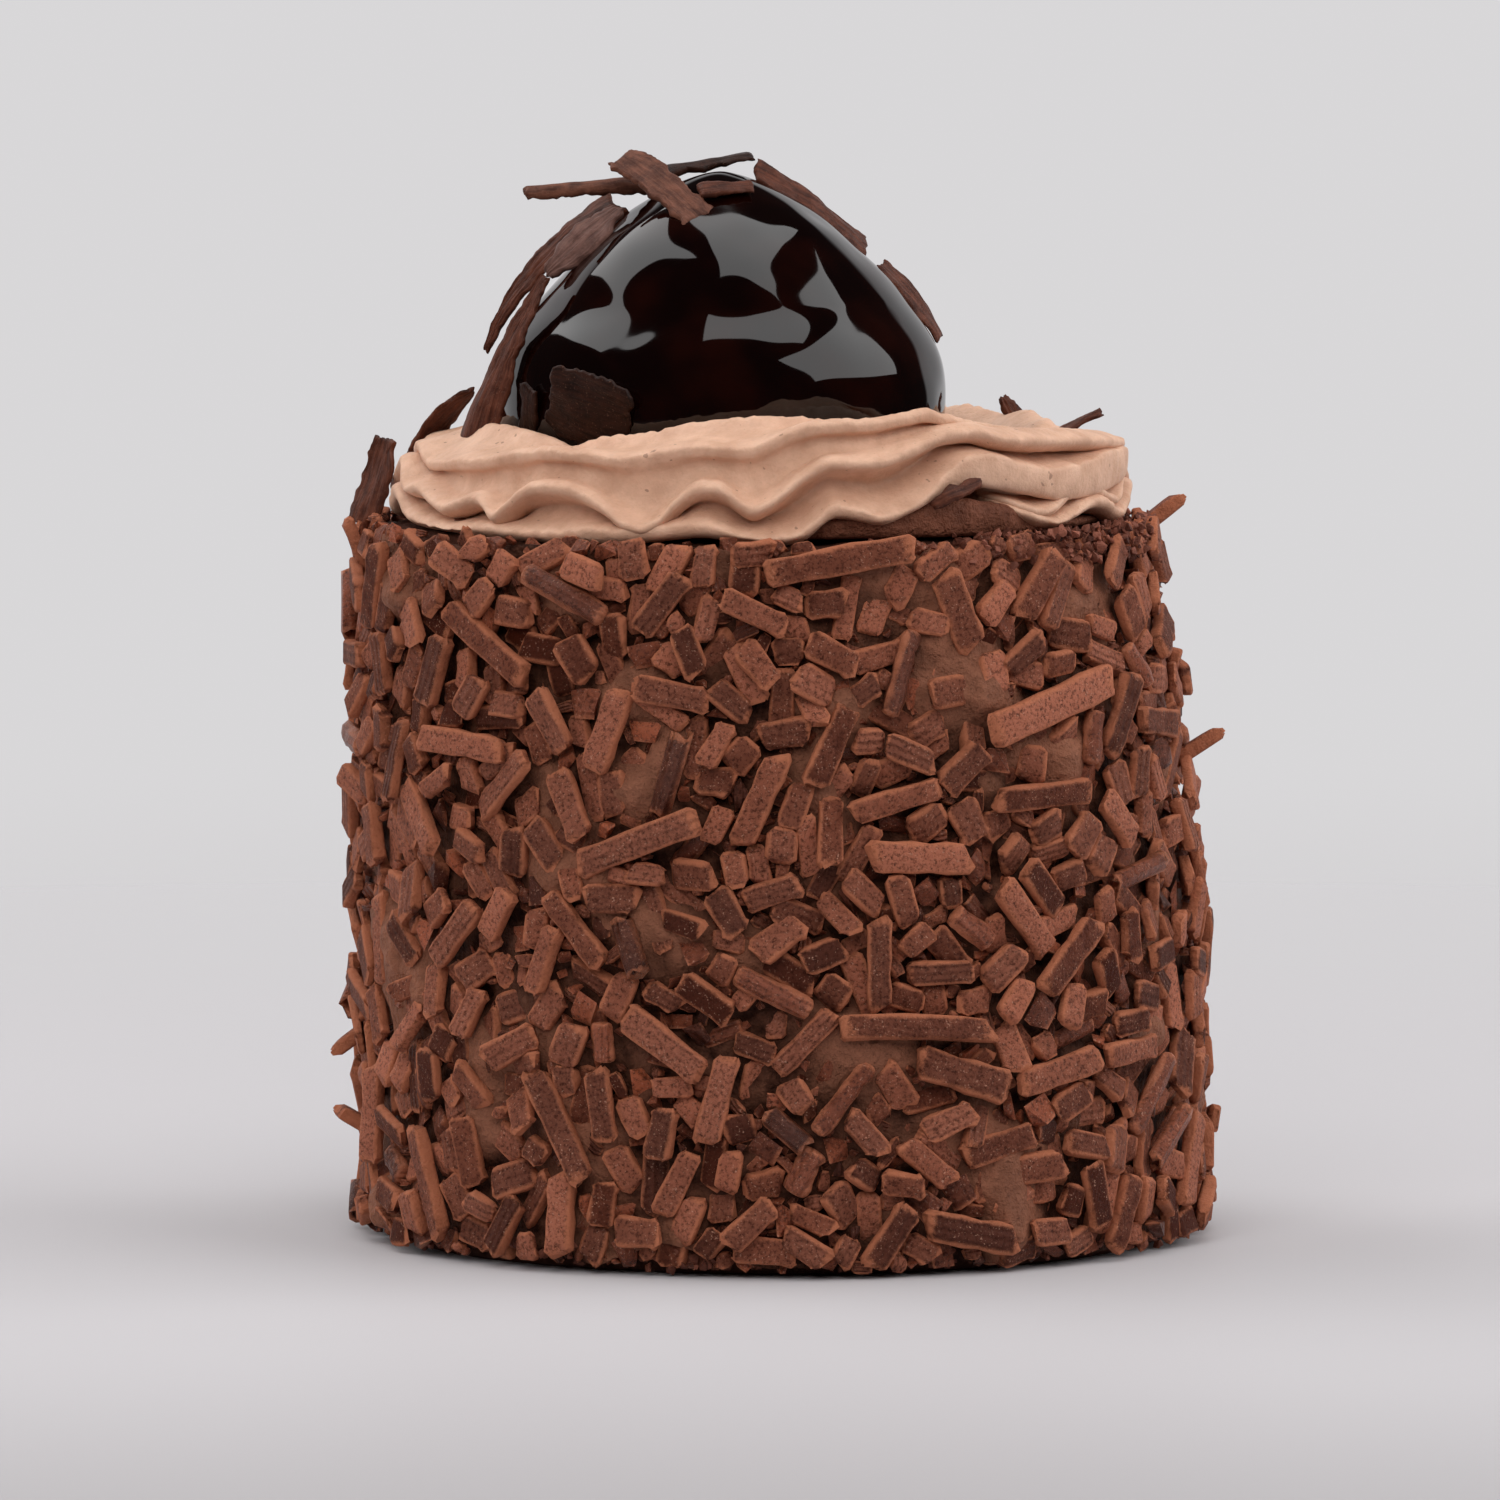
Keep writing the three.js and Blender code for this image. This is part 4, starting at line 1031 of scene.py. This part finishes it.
# Each shaving: its name, finish, pose, length and width, and how it is bent and cut.
SHAVINGS = [
    ("strip_top", milky, standing((-11.2, -4.8, 97.1), (-0.62, 0.65, 0.45), (-0.1, -0.65, 0.75)), 11.7, 3.4,
     {"curl": 14}),
    ("quill_left", milky, standing((-17.2, 0.2, 97), (-1, -0.06, -0.06), (0, -0.3, 1)), 13, 2.6,
     {"cup": 190}),
    ("strip_crown", dusky, standing((-7.6, 2.6, 98.7), (0.97, 0.1, 0.19), (-0.2, -0.1, 0.97)), 9.6, 3.2,
     {"cup": 60}),
    ("chip_crown", brown, on_bun(-86, 96.4, 8, 0.1), 4.6, 2.3, {}),
    ("strip_right_top", brown, on_bun(16, 94.4, 90, 0.1), 13.2, 4.2, {"curl": 12, "roll": 28}),
    ("strip_right_side", brown, on_bun(8, 86, 84), 9.2, 3.6, {"curl": 20, "roll": 20}),
    ("leaf_left", satin, on_bun(-166, 91, 76, 0.8), 9.2, 3.6, {"curl": 8, "leaf": 0.7, "roll": 38}),
    ("blade_left", brown, on_bun(174, 88, -88, 1.7), 18.8, 4.8, {"curl": 46, "taper": 0.8, "roll": 34}),
    ("curl_left", brown, standing((-25.9, -7.4, 80.6), (0.38, 0.06, 0.92), (-0.74, -0.62, 0.28)), 18.4, 6.4,
     {"curl": 24, "cup": 70, "taper": 0.8}),
    ("plate_front", dusky, on_bun(-125, 77.2, -16, 0.2), 9.2, 7.4, {"curl": 14, "leaf": 0.25}),
    ("chip_front", dusky, on_bun(-148, 76.8, 70, 0.2), 4.8, 2.6, {}),
    ("plate_shoulder", brown, standing((-37.6, 1.5, 69.4), (0.3, 0.06, 0.95), (-0.8, -0.55, 0.2)), 8.8, 4.8,
     {"curl": -14, "leaf": 0.4}),
    ("leaf_rear_left", brown, standing((-31.8, 8.6, 74.6), (0.68, 0.1, 0.72), (-0.55, 0.6, 0.55)), 8.4, 3.2,
     {"curl": 12, "leaf": 0.6}),
    ("chip_rear_right", brown, standing((21.4, 12.6, 74.9), (-0.5, 0, 0.86), (0.3, -0.9, 0.2)), 4, 2.6,
     {"taper": 0.6}),
    ("sliver_right", brown, standing((27.4, 4.6, 74.6), (0.86, 0, 0.5), (-0.4, -0.5, 0.76)), 4.6, 1.4, {}),
    ("sliver_front", brown, standing((15.6, -30, 70.4), (0.86, 0.34, 0.38), (0.3, -0.8, 0.5)), 5.2, 1.6,
     {"leaf": 0.5}),
    ("strip_back_right", brown, on_bun(62, 90, 74, 0.2), 10.5, 3.6, {"curl": 20}),
    ("leaf_back", milky, on_bun(98, 93.4, 40, 0.3), 8.6, 3.6, {"curl": 20, "leaf": 0.6}),
    ("blade_back", brown, on_bun(126, 85.4, 96, 0.6), 13.5, 4.2, {"curl": 22, "taper": 0.7}),
    ("plate_back", dusky, on_bun(84, 80.4, 12, 0.3), 8.2, 5.2, {"curl": 14}),
    ("curl_back", brown, standing((-9, 26.4, 76.4), (0.3, 0.25, 0.92), (0.1, 0.96, 0.25)), 9.6, 4.2,
     {"cup": 60, "taper": 0.6}),
]
for seed, (name, finish, pose, length, width, form) in enumerate(SHAVINGS):
    mesh = shaving_mesh(f"shaved_{name}", pose, length, width, seed=seed, **form)
    place(f"shaved_{name}", mesh, finish, "shavings", f"shaving_{name}")


# ---- Sponge crumbs ----
# Crumbs of the dark sponge, rubbed off its cut rims. They stick in the ragged foot of the coat, and lie
# thick on the upper rim at the right, where the coat stops short of the top.

FOOT_CRUMBS = 620
RIM_CRUMBS = 700
CRUMB_SHAPES = 6
RIM_TURN, RIM_SPREAD = -22, 20  # the middle and spread of the crumbs on the rim, in degrees


def crumb(angle, height, depth, across, random):
    """One crumb in the side of the cake."""
    turn = Matrix.Rotation(random.uniform(0, math.pi), 3, Vector(random.normal(0, 1, 3)))
    return {"turn": turn.to_euler(), "middle": Vector(on_side(angle, height, depth)),
            "size": across * random.uniform(0.7, 1.2, 3), "shape": random.integers(CRUMB_SHAPES),
            "tone": random.random()}


def lay_crumbs(random):
    foot, rim = [], []
    for _ in range(FOOT_CRUMBS):
        angle, height = random.uniform(-math.pi, math.pi), random.uniform(0.8, 3.0)
        foot.append(crumb(angle, height, random.uniform(2.0, 3.4), random.uniform(0.5, 1.2), random))
    for _ in range(RIM_CRUMBS):
        angle = math.radians(random.normal(RIM_TURN, RIM_SPREAD))
        height = CAKE_HEIGHT + random.uniform(-2.6, 0.5)
        rim.append(crumb(angle, height, random.uniform(0.2, 4.0), random.uniform(0.35, 1.0), random))
    return foot + rim


crumb_random = np.random.default_rng(31)
crumb_items = lay_crumbs(crumb_random)
crumb_shapes = [chip_shape(f"crumb_{i}", crumb_random) for i in range(CRUMB_SHAPES)]
crumb_finish = Finish("crumbled_sponge", 0.7, 0.2)
crumb_pores = crumb_finish.noise(0.5, 3, 0.6)
crumb_tone = crumb_finish.attribute("tone") * 0.7 + crumb_pores * 0.6 - 0.2
crumb_finish.set("Base Color", crumb_finish.mix(crumb_tone, (0.04, 0.01, 0.006), (0.36, 0.125, 0.08)))
crumb_finish.bump((crumb_pores, 0.3))
place("rim_crumbs", scattered("rim_crumbs", crumb_shapes, crumb_items, crumb_finish.material, 0.2, 0.8),
      crumb_finish.material, "sponge", "sponge")


# ---- Room ----
# A pale floor that fades into a pale room behind the cake. Its front is painted darker, as shade where less
# light falls. Three softboxes hang over the cake and at both sides of it, and show in the glaze. Four fills,
# which don't show in it, stand round it.

CAMERA_AT = (-0.003, -1.4, 0.157)
CAMERA_LOOKS_AT = (-0.003, 0.0, 0.0447)
LENS = 365.2
FLOOR_RADIUS = 0.75
FILL_DISTANCE = 1.4
BACKDROP = 0.69  # how bright the room is behind the cake

floor_finish = Finish("pale_floor", 0.6, 0.2)
# The floor's colour is painted darker towards the front, as shade where less light falls.
painted_front_shade = floor_finish.position.part("Y").between(-0.06, -0.32)
floor_finish.set("Base Color", floor_finish.mix(painted_front_shade, (0.55, 0.53, 0.545), (0.27, 0.25, 0.255)))
far = floor_finish.add("ShaderNodeVectorMath", {"operation": "LENGTH"}, {0: floor_finish.position}, "Value")
floor_finish.set("Alpha", far.between(0.55, 0.1))
floor_turn = np.linspace(0, 2 * math.pi, 64, endpoint=False)
floor_mesh = smooth_mesh("floor", around(floor_turn, FLOOR_RADIUS, 0) / MM, [list(range(64))])
floor_mesh.materials.append(floor_finish.material)
new_object("floor", floor_mesh)


def aimed(name, data, at, looks_at):
    """An object that stands at one point and looks at another."""
    item = new_object(name, data)
    item.location = at
    item.rotation_euler = (Vector(looks_at) - Vector(at)).to_track_quat("-Z", "Y").to_euler()
    return item


def soft_light(name, at, looks_at, size, power):
    light = bpy.data.lights.new(name, "AREA")
    light.shape = "RECTANGLE"
    light.size, light.size_y = size
    light.energy = power
    return aimed(name, light, at, looks_at)


soft_light("softbox_above", (0.2, 0.03, 1.3), (0.2, -0.07, 0.085), (0.8, 1.05), 5.5)
soft_light("softbox_left", (-0.95, 0.6, 1.3), (-0.95, 0.5, 0.085), (1.05, 1.5), 11)
soft_light("softbox_right", (1.1, -0.3, 0.85), (0.0, -0.02, 0.085), (1.7, 1.1), 12)
for name, toward, power in (
    ("fill_left", (-0.85, -0.38, 0.38), 4),
    ("fill_front", (-0.1, -0.75, 0.6), 8),
    ("fill_back_left", (-0.9, 0.45, 0.3), 7),
    ("fill_back_right", (0.9, 0.4, 0.3), 6),
):
    fill = soft_light(name, Vector(toward) * FILL_DISTANCE, (0, 0, 0.05), (0.9, 0.9), power)
    fill.visible_glossy = False

room = bpy.data.worlds.new("pale_room")
bpy.context.scene.world = room
room.use_nodes = True
sky = Tree(room.node_tree)
background = room.node_tree.nodes["Background"]
seen = sky.add("ShaderNodeLightPath", output="Is Camera Ray")
direction = sky.add("ShaderNodeTexCoord", output="Generated")
# What the glaze mirrors: a pale wall low behind the cake, and a dark room otherwise.
wall = direction.part("Y").between(0.6, 0.64) * direction.part("Z").between(0.55, 0.45)
bright = 0.02 + wall * 0.62
sky.fill(background.inputs["Strength"], bright + seen * (BACKDROP - bright))
background.inputs["Color"].default_value = (1.0, 0.985, 1.0, 1)

camera = bpy.data.cameras.new("camera")
camera.lens = LENS
camera.sensor_width = 36
bpy.context.scene.camera = aimed("camera", camera, CAMERA_AT, CAMERA_LOOKS_AT)
bpy.context.scene.view_settings.view_transform = "Standard"
